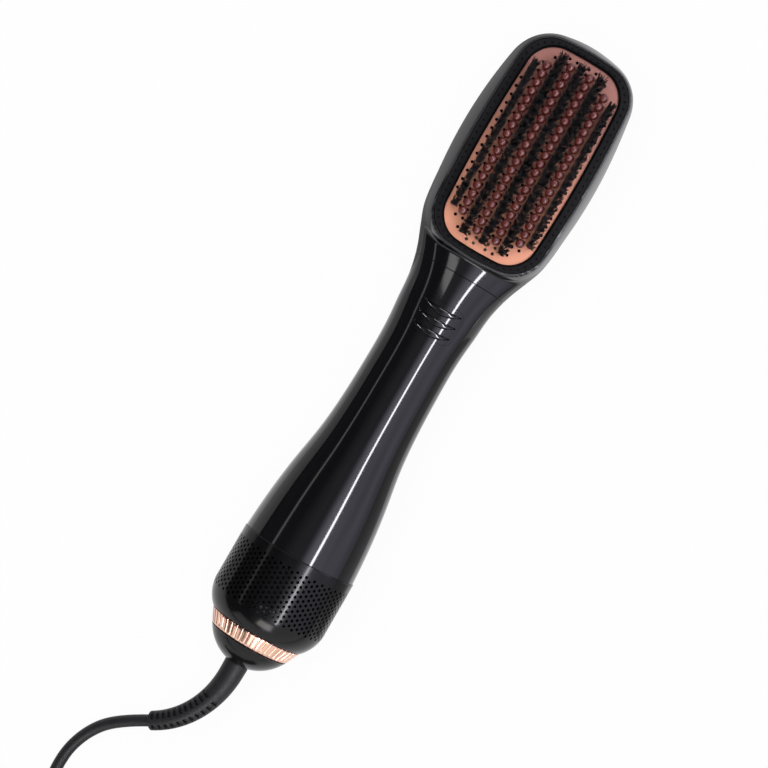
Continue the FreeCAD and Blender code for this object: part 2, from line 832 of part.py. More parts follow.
def motor_can():
    shell = tube(MOTOR_RADIUS, MOTOR_RADIUS - MOTOR_WALL, motor_start, motor_end)
    front = tube(MOTOR_RADIUS, SHAFT_RADIUS + BEARING_PLAY, motor_start, motor_start + MOTOR_WALL)
    return fused([shell, front])


def motor_end_bell():
    cover = tube(MOTOR_RADIUS, SHAFT_RADIUS + BEARING_PLAY, motor_end, motor_end + BELL_LENGTH)
    spigot_radius = MOTOR_RADIUS - MOTOR_WALL - SIDE_PLAY
    spigot = tube(spigot_radius, spigot_radius - MOTOR_WALL, motor_end - BELL_LENGTH, motor_end)
    return fused([cover, spigot])


def magnet_span():
    start = motor_start + MOTOR_WALL + BELL_LENGTH
    return start, start + ARMATURE_LENGTH


def motor_magnets():
    outer = MOTOR_RADIUS - MOTOR_WALL - PRESS_PLAY
    start, end = magnet_span()
    ring = tube(outer, outer - MAGNET_THICKNESS, start, end)
    return ring.cut(block((-MAGNET_GAP, MAGNET_GAP), (start, end), (-MOTOR_RADIUS, MOTOR_RADIUS)))


def armature():
    outer = MOTOR_RADIUS - MOTOR_WALL - MAGNET_THICKNESS - ARMATURE_GAP
    start, end = magnet_span()
    return tube(outer, SHAFT_RADIUS + PRESS_PLAY, start, end)


def motor_shaft():
    return rod(SHAFT_RADIUS, fan_start, motor_end + BELL_LENGTH / 2)


def blade():
    middle = fan_start + FAN_LENGTH / 2
    wires = []
    for radius, angle in [(FAN_HUB_RADIUS - HOLDER_WALL, FAN_ROOT_ANGLE), (fan_radius, FAN_TIP_ANGLE)]:
        lean = math.radians(angle)
        along = vec(math.cos(lean), math.sin(lean)) * (FAN_BLADE_CHORD / 2)
        over = vec(-math.sin(lean), math.cos(lean)) * (FAN_BLADE_THICKNESS / 2)
        place = vec(0, middle, radius)
        corners = [along + over, over - along, -along - over, along - over]
        wires.append(Part.makePolygon([place + c for c in corners + corners[:1]]))
    return Part.makeLoft(wires, True, True)


def fan_wheel():
    hub = tube(FAN_HUB_RADIUS, SHAFT_RADIUS + PRESS_PLAY, fan_start, fan_start + FAN_LENGTH)
    blades = [about_axis(blade(), i * 360.0 / FAN_BLADES) for i in range(FAN_BLADES)]
    keep = rod(fan_radius, fan_start, fan_start + FAN_LENGTH)
    bore = rod(SHAFT_RADIUS + PRESS_PLAY, fan_start, fan_start + FAN_LENGTH)
    return fused([hub] + blades).common(keep).cut(bore)


# Air intake


def intake_housing():
    straight = intake_start + INTAKE_SHOULDER
    bend = intake_start + INTAKE_SHOULDER * SHOULDER_BEND
    bulge = INTAKE_LIP_RADIUS + (BASE_RADIUS - INTAKE_LIP_RADIUS) * SHOULDER_BULGE
    inside = BASE_RADIUS - WALL
    bore = HUB_RADIUS + SIDE_PLAY
    outer = [
        *lines([(bore, intake_start), (INTAKE_LIP_RADIUS, intake_start)]),
        arc((INTAKE_LIP_RADIUS, intake_start), (bulge, bend), (BASE_RADIUS, straight)),
        *lines([
            (BASE_RADIUS, straight),
            (BASE_RADIUS, intake_end),
            (collar_radius, intake_end),
            (collar_radius, collar_end),
            (collar_bore, collar_end),
            (collar_bore, intake_end - WALL),
            (inside, intake_end - WALL - COLLAR_LENGTH),
            (inside, straight),
        ]),
        arc((inside, straight), (bulge - WALL, bend + WALL), (INTAKE_LIP_RADIUS - WALL / 2, flange_end)),
        *lines([(INTAKE_LIP_RADIUS - WALL / 2, flange_end), (bore, flange_end), (bore, intake_start)]),
    ]
    shell = turned(outer)
    return shell.cut(vents() + [peg_slot()])


def vents():
    inside = BASE_RADIUS - WALL - OVERCUT
    deep = WALL + 2 * OVERCUT
    drills = []
    for i in range(VENT_COLUMNS):
        angle = math.radians(i * 360.0 / VENT_COLUMNS)
        way = vec(math.sin(angle), 0, math.cos(angle))
        for j in range(VENT_ROWS):
            along = intake_start + VENT_START + (j + (i % 2) / 2) * VENT_PITCH
            start = vec(0, along) + way * inside
            drills.append(Part.makeCylinder(VENT_RADIUS, deep, start, way))
    return drills


def intake_filter():
    outer = BASE_RADIUS - WALL - RUNNING_GAP
    end = intake_end - WALL - COLLAR_LENGTH
    return tube(outer, outer - FILTER_THICKNESS, intake_start + INTAKE_SHOULDER, end)


# Tail cap and selector


def tail_cap():
    groove_radius = HUB_RADIUS - SNAP_RING_DEPTH
    inner = HUB_RADIUS - HUB_WALL
    centre = (CAP_RADIUS**2 + CAP_LENGTH**2 - CAP_FLAT_RADIUS**2 - CAP_CROWN**2) / 2
    centre = centre / (CAP_LENGTH + CAP_CROWN)
    round_radius = math.hypot(CAP_RADIUS, centre - CAP_LENGTH)
    half_turn = (math.asin(CAP_FLAT_RADIUS / round_radius) + math.asin(CAP_RADIUS / round_radius)) / 2
    bend = (round_radius * math.sin(half_turn), centre - round_radius * math.cos(half_turn))
    edges = [
        *lines([(GLAND_RADIUS, -CAP_CROWN), (CAP_FLAT_RADIUS, -CAP_CROWN)]),
        arc((CAP_FLAT_RADIUS, -CAP_CROWN), bend, (CAP_RADIUS, CAP_LENGTH)),
        *lines([
            (CAP_RADIUS, CAP_LENGTH),
            (HUB_RADIUS, CAP_LENGTH),
            (HUB_RADIUS, flange_end),
            (groove_radius, flange_end),
            (groove_radius, snap_end + SIDE_PLAY),
            (HUB_RADIUS, snap_end + SIDE_PLAY),
            (HUB_RADIUS, hub_end),
            (inner, hub_end),
            (inner, CAP_FLOOR),
            (GLAND_RADIUS, CAP_FLOOR),
            (GLAND_RADIUS, -CAP_CROWN),
        ]),
    ]
    return turned(edges)


def snap_ring():
    inner = HUB_RADIUS - SNAP_RING_DEPTH + PRESS_PLAY
    ring = tube(inner + SNAP_RING_DEPTH + SNAP_RING_REACH, inner, flange_end, snap_end)
    half = SNAP_RING_MOUTH / 2
    return ring.cut(block((-half, half), (flange_end, snap_end), (-BASE_RADIUS, 0.0)))


def peg_slot():
    half = PEG_RADIUS + RUNNING_GAP
    low = PEG_PITCH_RADIUS - half
    high = PEG_PITCH_RADIUS + half
    start = intake_start - OVERCUT
    end = flange_end + OVERCUT
    profile = [(low, start), (high, start), (high, end), (low, end), (low, start)]
    slot = turned(lines(profile), SELECTOR_TRAVEL)
    ends = [about_axis(rod(half, start, end, PEG_PITCH_RADIUS), a) for a in (0.0, SELECTOR_TRAVEL)]
    return about_axis(fused([slot] + ends), -90.0)


def selector_ring():
    bore = HUB_RADIUS + BEARING_PLAY
    profile = [
        (bore, ring_start),
        (RING_SMALL_RADIUS, ring_start),
        (RING_LARGE_RADIUS, ring_end),
        (bore, ring_end),
        (bore, ring_start),
    ]
    lift = FLUTE_RADIUS - FLUTE_DEPTH
    foot = vec(RING_SMALL_RADIUS + lift, ring_start)
    way = vec(RING_LARGE_RADIUS - RING_SMALL_RADIUS, RING_LENGTH)
    cutter = Part.makeCylinder(FLUTE_RADIUS, 3 * way.Length, foot - way, way)
    flutes = [about_axis(cutter, i * 360.0 / RING_FLUTES) for i in range(RING_FLUTES)]
    peg = rod(PEG_RADIUS, ring_end - RUNNING_GAP, disc_end, 0.0, PEG_PITCH_RADIUS)
    return turned(lines(profile)).cut(flutes).fuse(peg).removeSplitter()


def selector_disc():
    outer = PEG_PITCH_RADIUS + PEG_RADIUS + DISC_EDGE
    disc = tube(outer, HUB_RADIUS + BEARING_PLAY, disc_start, disc_end)
    return disc.cut(rod(PEG_RADIUS + PRESS_PLAY, disc_start, disc_end, 0.0, PEG_PITCH_RADIUS))


def selector_wipers():
    half = WIPER_WIDTH / 2
    low = PEG_PITCH_RADIUS - WIPER_REACH / 2
    finger = block((-half, half), (disc_end, disc_end + WIPER_HEIGHT), (low, low + WIPER_REACH))
    return Part.makeCompound([about_axis(finger, angle) for angle in (90.0, 180.0, 270.0)])


def control_board():
    return rod(BOARD_RADIUS, hub_end, board_end)


def capacitor():
    return rod(CAPACITOR_RADIUS, board_end, board_end + CAPACITOR_LENGTH, -CAPACITOR_OFFSET)


def mains_leads():
    start = CAP_FLOOR + RELIEF_FLANGE
    half = LEAD_SPACING / 2
    return Part.makeCompound([rod(LEAD_RADIUS, start, hub_end, side) for side in (-half, half)])


# Tubes on straight runs joined by tangent arcs


def bent_path(points):
    edges = []
    radii = []
    at = points[0]
    for before, corner, after in zip(points, points[1:], points[2:]):
        back = before - corner
        ahead = after - corner
        turn = math.pi - back.getAngle(ahead)
        cut = BEND_SHARE * min(back.Length, ahead.Length)
        radii.append(cut / math.tan(turn / 2))
        start = corner + back.normalize() * cut
        end = corner + ahead.normalize() * cut
        edges.append(Part.LineSegment(at, start).toShape())
        edges.append(arc_between(start, corner, end))
        at = end
    edges.append(Part.LineSegment(at, points[-1]).toShape())
    return Part.Wire(edges), radii


def arc_between(start, corner, end):
    middle = (start + end) * 0.5
    half_chord = (end - start).Length / 2
    rise = (corner - middle).Length
    lean = math.atan2(rise, half_chord)
    crown = middle + (corner - middle) * (math.tan(lean / 2) / math.tan(lean))
    return Part.Arc(start, crown, end).toShape()


def swept(path, radius):
    edge = path.OrderedEdges[0]
    start = edge.valueAt(edge.FirstParameter)
    way = edge.tangentAt(edge.FirstParameter)
    ring = Part.Wire([Part.makeCircle(radius, start, way)])
    return path.makePipeShell([ring], True, False)


def biarc(start, start_way, end, end_way):
    v = end - start
    t = start_way + end_way
    bend = 2 * (1 - start_way.dot(end_way))
    reach = (-v.dot(t) + math.sqrt(v.dot(t) ** 2 + bend * v.dot(v))) / bend
    first = start + start_way * reach
    last = end - end_way * reach
    middle = (first + last) * 0.5
    return [arc_between(start, first, middle), arc_between(middle, last, end)]


def heater_winding():
    start = liner_start + (LINER_LENGTH - WINDING_TURNS * WINDING_PITCH) / 2
    rise = WINDING_PITCH / (2 * math.pi)

    def place(quarter):
        angle = quarter * math.pi / 2
        spot = vec(math.cos(angle), 0, math.sin(angle)) * WINDING_RADIUS
        way = vec(-math.sin(angle), 0, math.cos(angle)) * WINDING_RADIUS + vec(0, rise)
        return spot + vec(0, start + rise * angle), way.normalize()

    edges = []
    for quarter in range(4 * WINDING_TURNS):
        edges += biarc(*place(quarter), *place(quarter + 1))
    return swept(Part.Wire(edges), WIRE_RADIUS)


def wire_loom():
    outside = fan_wall + SIDE_PLAY + LOOM_RADIUS
    start_radius = BOARD_RADIUS - 2 * LOOM_RADIUS
    end_radius = liner_radius - LINER_WALL / 2
    holder_end = holder_start + HOLDER_LENGTH
    wires = []
    for side in (-LOOM_SPACING / 2, LOOM_SPACING / 2):
        points = [
            vec(side, board_end, -start_radius),
            vec(side, (board_end + collar_end) / 2, -start_radius),
            vec(side, collar_end - COLLAR_LENGTH, -outside),
            vec(side, holder_end + LOOM_LEAD, -outside),
            vec(side, motor_end, -end_radius),
            vec(side, liner_start - SIDE_PLAY, -end_radius),
        ]
        wires.append(swept(bent_path(points)[0], LOOM_RADIUS))
    return Part.makeCompound(wires)


# Strain relief, drawn where it lies


def relief_frame(distance):
    drop = math.radians(RELIEF_DROP)
    aside = vec(-math.cos(drop), 0, -math.sin(drop))
    back = vec(0, -1)
    root = set_down.add(vec(0, -CAP_CROWN - SIDE_PLAY))
    if distance <= RELIEF_STRAIGHT:
        return root + back * distance, back
    angle = (distance - RELIEF_STRAIGHT) / RELIEF_BEND_RADIUS
    spot = root + back * (RELIEF_STRAIGHT + RELIEF_BEND_RADIUS * math.sin(angle))
    spot = spot + aside * (RELIEF_BEND_RADIUS * (1 - math.cos(angle)))
    return spot, back * math.cos(angle) + aside * math.sin(angle)


def relief_length():
    return RELIEF_STRAIGHT + RELIEF_BEND_RADIUS * math.radians(RELIEF_TURN)


def relief_ring(distance, radius):
    spot, way = relief_frame(distance)
    steady = vec(0, 0, 1)
    side = way.cross(steady).normalize()
    up = side.cross(way)
    placement = FreeCAD.Placement(spot, FreeCAD.Rotation(side, up, way, "ZXY"))
    circle = Part.makeCircle(radius)
    circle.Placement = placement
    return Part.Wire([circle])


def strain_relief():
    length = relief_length()
    taper = (RELIEF_END_RADIUS - RELIEF_ROOT_RADIUS) / length
    pitch = (length - RELIEF_SMOOTH) / RELIEF_RIBS
    groove_end = pitch * RELIEF_GROOVE_SHARE
    slope = pitch * RELIEF_SLOPE_SHARE
    spots = [(RELIEF_SMOOTH * i / RELIEF_STEPS, 0.0) for i in range(RELIEF_STEPS)]
    for i in range(RELIEF_RIBS):
        start = RELIEF_SMOOTH + pitch * i
        spots.append((start, 0.0))
        spots.append((start + slope, RELIEF_GROOVE_DEPTH))
        spots.append((start + groove_end - slope, RELIEF_GROOVE_DEPTH))
        spots.append((start + groove_end, 0.0))
    spots.append((length, 0.0))
    wires = [relief_ring(d, RELIEF_ROOT_RADIUS + taper * d - deep) for d, deep in spots]
    sleeve = Part.makeLoft(wires, True, True)
    throat = rod(GLAND_RADIUS - SIDE_PLAY, -CAP_CROWN - SIDE_PLAY, CAP_FLOOR)
    flange = rod(RELIEF_FLANGE_RADIUS, CAP_FLOOR, CAP_FLOOR + RELIEF_FLANGE)
    inner = throat.fuse(flange)
    inner.translate(set_down)
    return fused([inner, sleeve])


# Cord from the strain relief to its coil, lying on the floor


def cord_points():
    end, way = relief_frame(relief_length())
    return [end, end + way * FIRST_RUN] + [vec(*point) for point in ROUTE]


def cord_end_way():
    points = cord_points()
    return (points[-1] - points[-2]).normalize()


def power_cord():
    path, radii = bent_path(cord_points())
    print("cord radii", [round(r, 1) for r in radii])
    return checked_tube("power cord", path)


def checked_tube(name, path):
    solid = swept(path, CORD_RADIUS)
    expected = math.pi * CORD_RADIUS**2 * path.Length
    print(name, "length", round(path.Length, 1), "volume share", round(solid.Volume / expected, 4))
    return solid


def coil_centre():
    way = vec(*cord_end_way()[:2]).normalize()
    slope = COIL_PITCH / (2 * math.pi * COIL_OUTER_RADIUS)
    lean = math.atan(slope)
    out = vec(way.y, -way.x)
    out = out * math.cos(lean) + way * math.sin(lean)
    start = vec(*ROUTE[-1]) + way * (2 * CORD_RADIUS)
    start.z = ROUTE[-1][2]
    return start - out * COIL_OUTER_RADIUS, math.atan2(out.y, out.x)


def coil_place(turn):
    half = COIL_TURNS / 2
    left = abs(turn - half)
    if left < COIL_BLEND:
        left = (left**2 + COIL_BLEND**2) / (2 * COIL_BLEND)
    radius = COIL_OUTER_RADIUS - COIL_PITCH * (half - left)
    climb = min(max((turn - half + COIL_BLEND) / (2 * COIL_BLEND), 0.0), 1.0)
    height = COIL_PITCH * climb**2 * (3 - 2 * climb)
    centre, first = coil_centre()
    angle = first + 2 * math.pi * turn
    return centre + vec(math.cos(angle) * radius, math.sin(angle) * radius, height)


def coil_way(turn):
    return (coil_place(turn + COIL_SMALL_TURN) - coil_place(turn - COIL_SMALL_TURN)).normalize()


def coil_path():
    quarters = 4 * COIL_TURNS
    start = coil_place(0)
    end = coil_place(COIL_TURNS)
    edges = [Part.LineSegment(vec(*ROUTE[-1]), start).toShape()]
    for i in range(quarters):
        a, b = i / 4, (i + 1) / 4
        edges += biarc(coil_place(a), coil_way(a), coil_place(b), coil_way(b))
    edges.append(Part.LineSegment(end, coil_exit()).toShape())
    return Part.Wire(edges)


def coil_exit():
    return coil_place(COIL_TURNS) + coil_way(COIL_TURNS) * (2 * CORD_RADIUS)


def coil_gap():
    spots = [coil_place(i / COIL_STEPS) for i in range(COIL_TURNS * COIL_STEPS + 1)]
    least = min(
        (a - b).Length
        for i, a in enumerate(spots)
        for b in spots[i + COIL_STEPS // 2 :]
    )
    return least - 2 * CORD_RADIUS


def cord_coil():
    print("coil gap to itself", round(coil_gap(), 2))
    return checked_tube("cord coil", coil_path())


def tail_points():
    at = coil_exit()
    way = coil_way(COIL_TURNS)
    heading = math.degrees(math.atan2(way.y, way.x))
    points = [at]
    for turn, drop in TAIL_BENDS:
        heading += turn
        angle = math.radians(heading)
        at = at + vec(math.cos(angle) * TAIL_RUN, math.sin(angle) * TAIL_RUN, -drop)
        points.append(at)
    return points, heading


def cord_tail():
    points, _ = tail_points()
    path, radii = bent_path(points)
    print("tail radii", [round(r, 1) for r in radii])
    return checked_tube("cord tail", path)


def at_plug(shape):
    points, heading = tail_points()
    copy = shape.copy()
    copy.rotate(vec(0, 0), vec(0, 0, 1), heading)
    copy.translate(points[-1])
    return copy


def plug_section(along, wide, tall):
    circle = Part.makeCircle(1.0, vec(0, 0), vec(1, 0))
    stretch = FreeCAD.Matrix()
    stretch.A22 = wide
    stretch.A33 = tall
    edge = circle.transformGeometry(stretch)
    edge.translate(vec(along, 0))
    return Part.Wire([edge])


def plug_body():
    return at_plug(Part.makeLoft([plug_section(*s) for s in PLUG_SECTIONS], True, False))


def plug_pins():
    face = PLUG_SECTIONS[-1][0]
    half = PLUG_PIN_SPACING / 2
    pins = []
    for side in (-half, half):
        pin = Part.makeCylinder(PLUG_PIN_RADIUS, PLUG_PIN_LENGTH, vec(face, side), vec(1, 0))
        end = face + PLUG_PIN_LENGTH - PLUG_PIN_RADIUS
        tip = [edge for edge in pin.Edges if edge.Closed and edge.CenterOfMass.x > end]
        pins.append(pin.makeFillet(PLUG_PIN_RADIUS / 2, tip))
    return at_plug(Part.makeCompound(pins))


def cord_tie():
    centre, first = coil_centre()
    outer = COIL_OUTER_RADIUS - COIL_PITCH * TIE_TURN + CORD_RADIUS + TIE_PLAY
    inner = COIL_OUTER_RADIUS - COIL_PITCH * COIL_TURNS / 2 - CORD_RADIUS - TIE_SAG
    low = -CORD_RADIUS - TIE_PLAY
    high = COIL_PITCH + CORD_RADIUS + TIE_PLAY
    half = TIE_WIDTH / 2
    t = TIE_THICKNESS
    strap = block((inner - t, outer + t), (-half, half), (low - t, high + t))
    strap = strap.cut(block((inner, outer), (-half - t, half + t), (low, high)))
    strap.rotate(vec(0, 0), vec(0, 0, 1), math.degrees(first + 2 * math.pi * TIE_TURN))
    strap.translate(centre)
    return strap


# Every piece under its name. Pieces of the cord are drawn where they lie.

head_places, handle_places = screw_places()
brush = {
    "head_front_shell": head_front_shell,
    "head_rear_shell": head_rear_shell,
    "bezel_ring": bezel_ring,
    "bristle_plate": bristle_plate,
    "diffuser_plate": diffuser_plate,
    "head_screws": lambda: screws(head_places),
    "handle_front_shell": handle_front_shell,
    "handle_rear_shell": handle_rear_shell,
    "handle_screws": lambda: screws(handle_places),
    "cool_button": cool_button,
    "button_return_dome": return_dome,
    "button_switch": key_switch,
    "button_board": key_board,
    "outlet_duct": outlet_duct,
    "heater_liner": heater_liner,
    "heater_mica_cross": mica_cross,
    "heater_winding": heater_winding,
    "thermostat": thermostat,
    "thermal_fuse": thermal_fuse,
    "motor_holder": motor_holder,
    "motor_can": motor_can,
    "motor_end_bell": motor_end_bell,
    "motor_magnets": motor_magnets,
    "motor_armature": armature,
    "motor_shaft": motor_shaft,
    "fan_wheel": fan_wheel,
    "intake_housing": intake_housing,
    "intake_filter": intake_filter,
    "tail_cap": tail_cap,
    "snap_ring": snap_ring,
    "selector_ring": selector_ring,
    "selector_disc": selector_disc,
    "selector_wipers": selector_wipers,
    "control_board": control_board,
    "capacitor": capacitor,
    "mains_leads": mains_leads,
    "wire_loom": wire_loom,
}
cord = {
    "strain_relief": strain_relief,
    "power_cord": power_cord,
    "cord_coil": cord_coil,
    "cord_tail": cord_tail,
    "cord_tie": cord_tie,
    "plug_body": plug_body,
    "plug_pins": plug_pins,
}
for number, (x, rows) in enumerate(pin_columns(), 1):
    brush[f"ball_pin_strip_{number}"] = lambda x=x, rows=rows: strip(x, rows, PIN_STEM_RADIUS, ball_pin)
for number, (x, rows) in enumerate(tuft_columns(), 1):
    brush[f"tuft_strip_{number}"] = lambda x=x, rows=rows: strip(x, rows, TUFT_RADIUS, tuft)


def main():
    os.makedirs("parts", exist_ok=True)
    for name, make in {**brush, **cord}.items():
        shape = make()
        if name in brush:
            shape.translate(set_down)
        shape.exportStep(f"parts/{name}.step")


main()
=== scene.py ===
import math
import random
import bmesh
import bpy
import numpy as np
from mathutils import Matrix, Vector


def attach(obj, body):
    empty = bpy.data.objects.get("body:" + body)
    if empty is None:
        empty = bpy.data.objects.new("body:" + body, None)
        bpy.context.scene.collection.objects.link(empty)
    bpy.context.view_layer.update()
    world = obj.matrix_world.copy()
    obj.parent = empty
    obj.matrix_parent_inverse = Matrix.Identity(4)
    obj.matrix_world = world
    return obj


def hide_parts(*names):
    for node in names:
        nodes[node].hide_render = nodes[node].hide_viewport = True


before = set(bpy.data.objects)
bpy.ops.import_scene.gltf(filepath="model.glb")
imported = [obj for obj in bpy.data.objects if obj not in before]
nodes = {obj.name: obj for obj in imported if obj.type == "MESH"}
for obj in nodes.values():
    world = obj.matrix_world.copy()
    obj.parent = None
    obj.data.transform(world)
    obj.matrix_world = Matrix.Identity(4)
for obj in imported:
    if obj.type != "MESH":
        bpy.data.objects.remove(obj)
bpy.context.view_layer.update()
scene = bpy.context.scene
scene.view_settings.view_transform = "Standard"
halfTotal = 168.7  # mm from the tail to the middle of the brush
axisHeight = 29.8  # mm from the table to the handle's axis
print("frame loaded:", len(nodes), "nodes")


# camera: nearly straight down on the bristle face, the handle leaning across the picture
view = {
    "target": (-0.0059, -0.0194, 0.0298),
    "offset": (-0.035, 0.0, 1.000),
    "right": (0.866, 0.5, 0.0),
    "lens": 97.27,
}


def linkUp(obj):
    scene.collection.objects.link(obj)
    return obj


def makeCamera():
    data = bpy.data.cameras.new("camera")
    data.lens = view["lens"]
    camera = linkUp(bpy.data.objects.new("camera", data))
    target = Vector(view["target"])
    eye = target + Vector(view["offset"])
    back = (eye - target).normalized()
    right = Vector(view["right"])
    right = (right - back * right.dot(back)).normalized()
    turn = Matrix((right, back.cross(right), back)).transposed()
    camera.matrix_world = Matrix.Translation(eye) @ turn.to_4x4()
    scene.camera = camera


makeCamera()


# shader sums written as sums
class Socket:
    def __init__(self, tree, plug):
        self.tree = tree
        self.plug = plug

    def join(self, operation, first, second):
        return makeNode(self.tree, "ShaderNodeMath", {"operation": operation}, {0: first, 1: second})

    def __add__(self, other):
        return self.join("ADD", self, other)

    def __radd__(self, other):
        return self.join("ADD", other, self)

    def __sub__(self, other):
        return self.join("SUBTRACT", self, other)

    def __rsub__(self, other):
        return self.join("SUBTRACT", other, self)

    def __mul__(self, other):
        return self.join("MULTIPLY", self, other)

    def __rmul__(self, other):
        return self.join("MULTIPLY", other, self)

    def __pow__(self, other):
        return self.join("POWER", self, other)

    def __rpow__(self, other):
        return self.join("POWER", other, self)

    def __gt__(self, other):
        return self.join("GREATER_THAN", self, other)

    def __lt__(self, other):
        return self.join("LESS_THAN", self, other)

    def sized(self):
        return self.join("ABSOLUTE", self, 0.0)

    def most(self, other):
        return self.join("MAXIMUM", self, other)


def makeNode(tree, kind, settings, sockets, output=0):
    node = tree.nodes.new(kind)
    for key, value in settings.items():
        setattr(node, key, value)
    for key, value in sockets.items():
        if isinstance(value, Socket):
            tree.links.new(value.plug, node.inputs[key])
        else:
            node.inputs[key].default_value = value
    return Socket(tree, node.outputs[output]) if node.outputs else None


def bareMaterial(name):
    material = bpy.data.materials.new(name)
    material.use_nodes = True
    material.node_tree.nodes.clear()
    return material, material.node_tree


def rgba(color):
    return (*color, 1.0)


def objectPoint(tree):
    return makeNode(tree, "ShaderNodeTexCoord", {}, {}, "Object")


def axisOf(tree, point, axis):
    return makeNode(tree, "ShaderNodeSeparateXYZ", {}, {0: point}, axis)


def smoothRamp(tree, value, start, end, low=0.0, high=1.0):
    sockets = {0: value, 1: start, 2: end, 3: low, 4: high}
    return makeNode(tree, "ShaderNodeMapRange", {"interpolation_type": "SMOOTHSTEP"}, sockets)


def noise(tree, point, scale, detail=3.0):
    sockets = {"Vector": point, "Scale": scale, "Detail": detail, "Roughness": 0.55}
    return makeNode(tree, "ShaderNodeTexNoise", {}, sockets)


def mixColor(tree, share, first, second):
    sockets = {0: share, 6: first, 7: second}  # the share and the two colours
    return makeNode(tree, "ShaderNodeMix", {"data_type": "RGBA"}, sockets, 2)


# one table of finishes: two colours that drift into each other, a gloss range, a fine relief
finishes = {
    "glossBlack": dict(colors=[(0.0015, 0.0015, 0.0020), (0.0030, 0.0030, 0.0038)], rough=(0.07, 0.10), spec=0.5,
                       coat=0.1, drift=60, grain=900, relief=0.001),
    "ventBlack": dict(colors=[(0.002, 0.002, 0.0023), (0.004, 0.004, 0.0045)], rough=(0.14, 0.19), spec=0.28,
                      drift=90, grain=900, relief=0.003),
    "bezelBlack": dict(colors=[(0.0030, 0.0030, 0.0036), (0.0060, 0.0060, 0.0070)], rough=(0.38, 0.5), spec=0.10,
                       drift=120, grain=2600, relief=0.12),
    # the next finish is painted shade for the thin dark discs laid on the bezel dimples' floors
    "paintedPitShade": dict(colors=[(0.001, 0.001, 0.001), (0.003, 0.003, 0.003)], rough=(0.7, 0.8), spec=0.1,
                     drift=300, grain=2600, relief=0.05),
    # the copper's last entry is painted shade: it darkens the plate towards the head's far end, standing in for a
    # darker reflection there
    "copperCoat": dict(colors=[(0.78, 0.32, 0.19), (0.86, 0.38, 0.24)], rough=(0.30, 0.42), metal=0.4, spec=0.5,
                       drift=30, grain=3200, relief=0.05, shadeFade=(0.045, 0.16, (0.36, 0.15, 0.12))),
    "roseGold": dict(colors=[(0.84, 0.49, 0.37), (0.94, 0.61, 0.48)], rough=(0.12, 0.2), metal=1.0, spec=0.5,
                     drift=80, grain=1500, relief=0.02),
    "pinRed": dict(colors=[(0.085, 0.013, 0.012), (0.16, 0.027, 0.023)], rough=(0.20, 0.27), spec=0.6,
                   drift=400, grain=1800, relief=0.01),
    "bristleBlack": dict(colors=[(0.005, 0.005, 0.005), (0.016, 0.015, 0.015)], rough=(0.35, 0.5), spec=0.4,
                         drift=700, grain=3000, relief=0.05),
    "rubberBlack": dict(colors=[(0.007, 0.007, 0.008), (0.014, 0.014, 0.016)], rough=(0.42, 0.55), spec=0.35,
                        drift=150, grain=2500, relief=0.10),
    "greyPlastic": dict(colors=[(0.10, 0.10, 0.11), (0.14, 0.14, 0.15)], rough=(0.4, 0.5), spec=0.4,
                        drift=90, grain=1500, relief=0.08),
    "creamPlastic": dict(colors=[(0.50, 0.45, 0.37), (0.58, 0.53, 0.45)], rough=(0.45, 0.6), spec=0.4,
                         drift=90, grain=1500, relief=0.08),
    "micaBoard": dict(colors=[(0.62, 0.55, 0.40), (0.75, 0.69, 0.55)], rough=(0.3, 0.5), spec=0.5,
                      drift=250, grain=900, relief=0.10),
    "boardGreen": dict(colors=[(0.03, 0.16, 0.06), (0.05, 0.22, 0.09)], rough=(0.3, 0.4), spec=0.5,
                       drift=300, grain=2000, relief=0.05),
    "brightSteel": dict(colors=[(0.52, 0.52, 0.53), (0.64, 0.64, 0.65)], rough=(0.22, 0.34), metal=1.0, spec=0.5,
                        drift=200, grain=2500, relief=0.04),
    "ferrite": dict(colors=[(0.06, 0.06, 0.065), (0.09, 0.09, 0.095)], rough=(0.5, 0.65), spec=0.4,
                    drift=200, grain=1800, relief=0.10),
    "contactBrass": dict(colors=[(0.62, 0.43, 0.16), (0.74, 0.55, 0.24)], rough=(0.25, 0.35), metal=1.0, spec=0.5,
                         drift=250, grain=2000, relief=0.04),
    "nickelPin": dict(colors=[(0.66, 0.65, 0.63), (0.76, 0.75, 0.73)], rough=(0.14, 0.24), metal=1.0, spec=0.5,
                      drift=250, grain=2200, relief=0.03),
    "filterCloth": dict(colors=[(0.008, 0.008, 0.008), (0.02, 0.02, 0.02)], rough=(0.8, 0.95), spec=0.05,
                        drift=1500, grain=4000, relief=0.3),
}
finishes["headBlack"] = dict(finishes["glossBlack"], dull=(0.0463, 0.0475, 0.34))  # satin above these heights
everyFinish = {"grainDetail": 2.0, "bumpDepth": 0.0002, "coatRough": 0.05}
made = {}


def finish(name):
    if name in made:
        return made[name]
    look = finishes[name]
    material, tree = bareMaterial(name)
    point = objectPoint(tree)
    drift = noise(tree, point, look["drift"])
    grain = noise(tree, point, look["grain"], everyFinish["grainDetail"])
    color = mixColor(tree, drift, *[rgba(shade) for shade in look["colors"]])
    if "shadeFade" in look:  # painted shade: the colour darkens along the handle's direction, towards the head's far end, standing in for a darker reflection there
        start, end, deep = look["shadeFade"]
        color = mixColor(tree, smoothRamp(tree, axisOf(tree, point, 1), start, end), color, rgba(deep))
    low, high = look["rough"]
    rough = (grain + drift) * ((high - low) / 2) + low
    if "dull" in look:  # a satin rim above a glossy wall
        start, end, satin = look["dull"]
        rough = rough + smoothRamp(tree, axisOf(tree, point, 2), start, end) * (satin - low)
    relief = {"Strength": look["relief"], "Distance": everyFinish["bumpDepth"], "Height": grain}
    sockets = {
        "Base Color": color,
        "Roughness": rough,
        "Metallic": look.get("metal", 0.0),
        "Specular IOR Level": look["spec"],
        "Coat Weight": look.get("coat", 0.0),
        "Coat Roughness": everyFinish["coatRough"],
        "Normal": makeNode(tree, "ShaderNodeBump", {}, relief),
    }
    shader = makeNode(tree, "ShaderNodeBsdfPrincipled", {}, sockets)
    makeNode(tree, "ShaderNodeOutputMaterial", {}, {"Surface": shader})
    made[name] = material
    return material


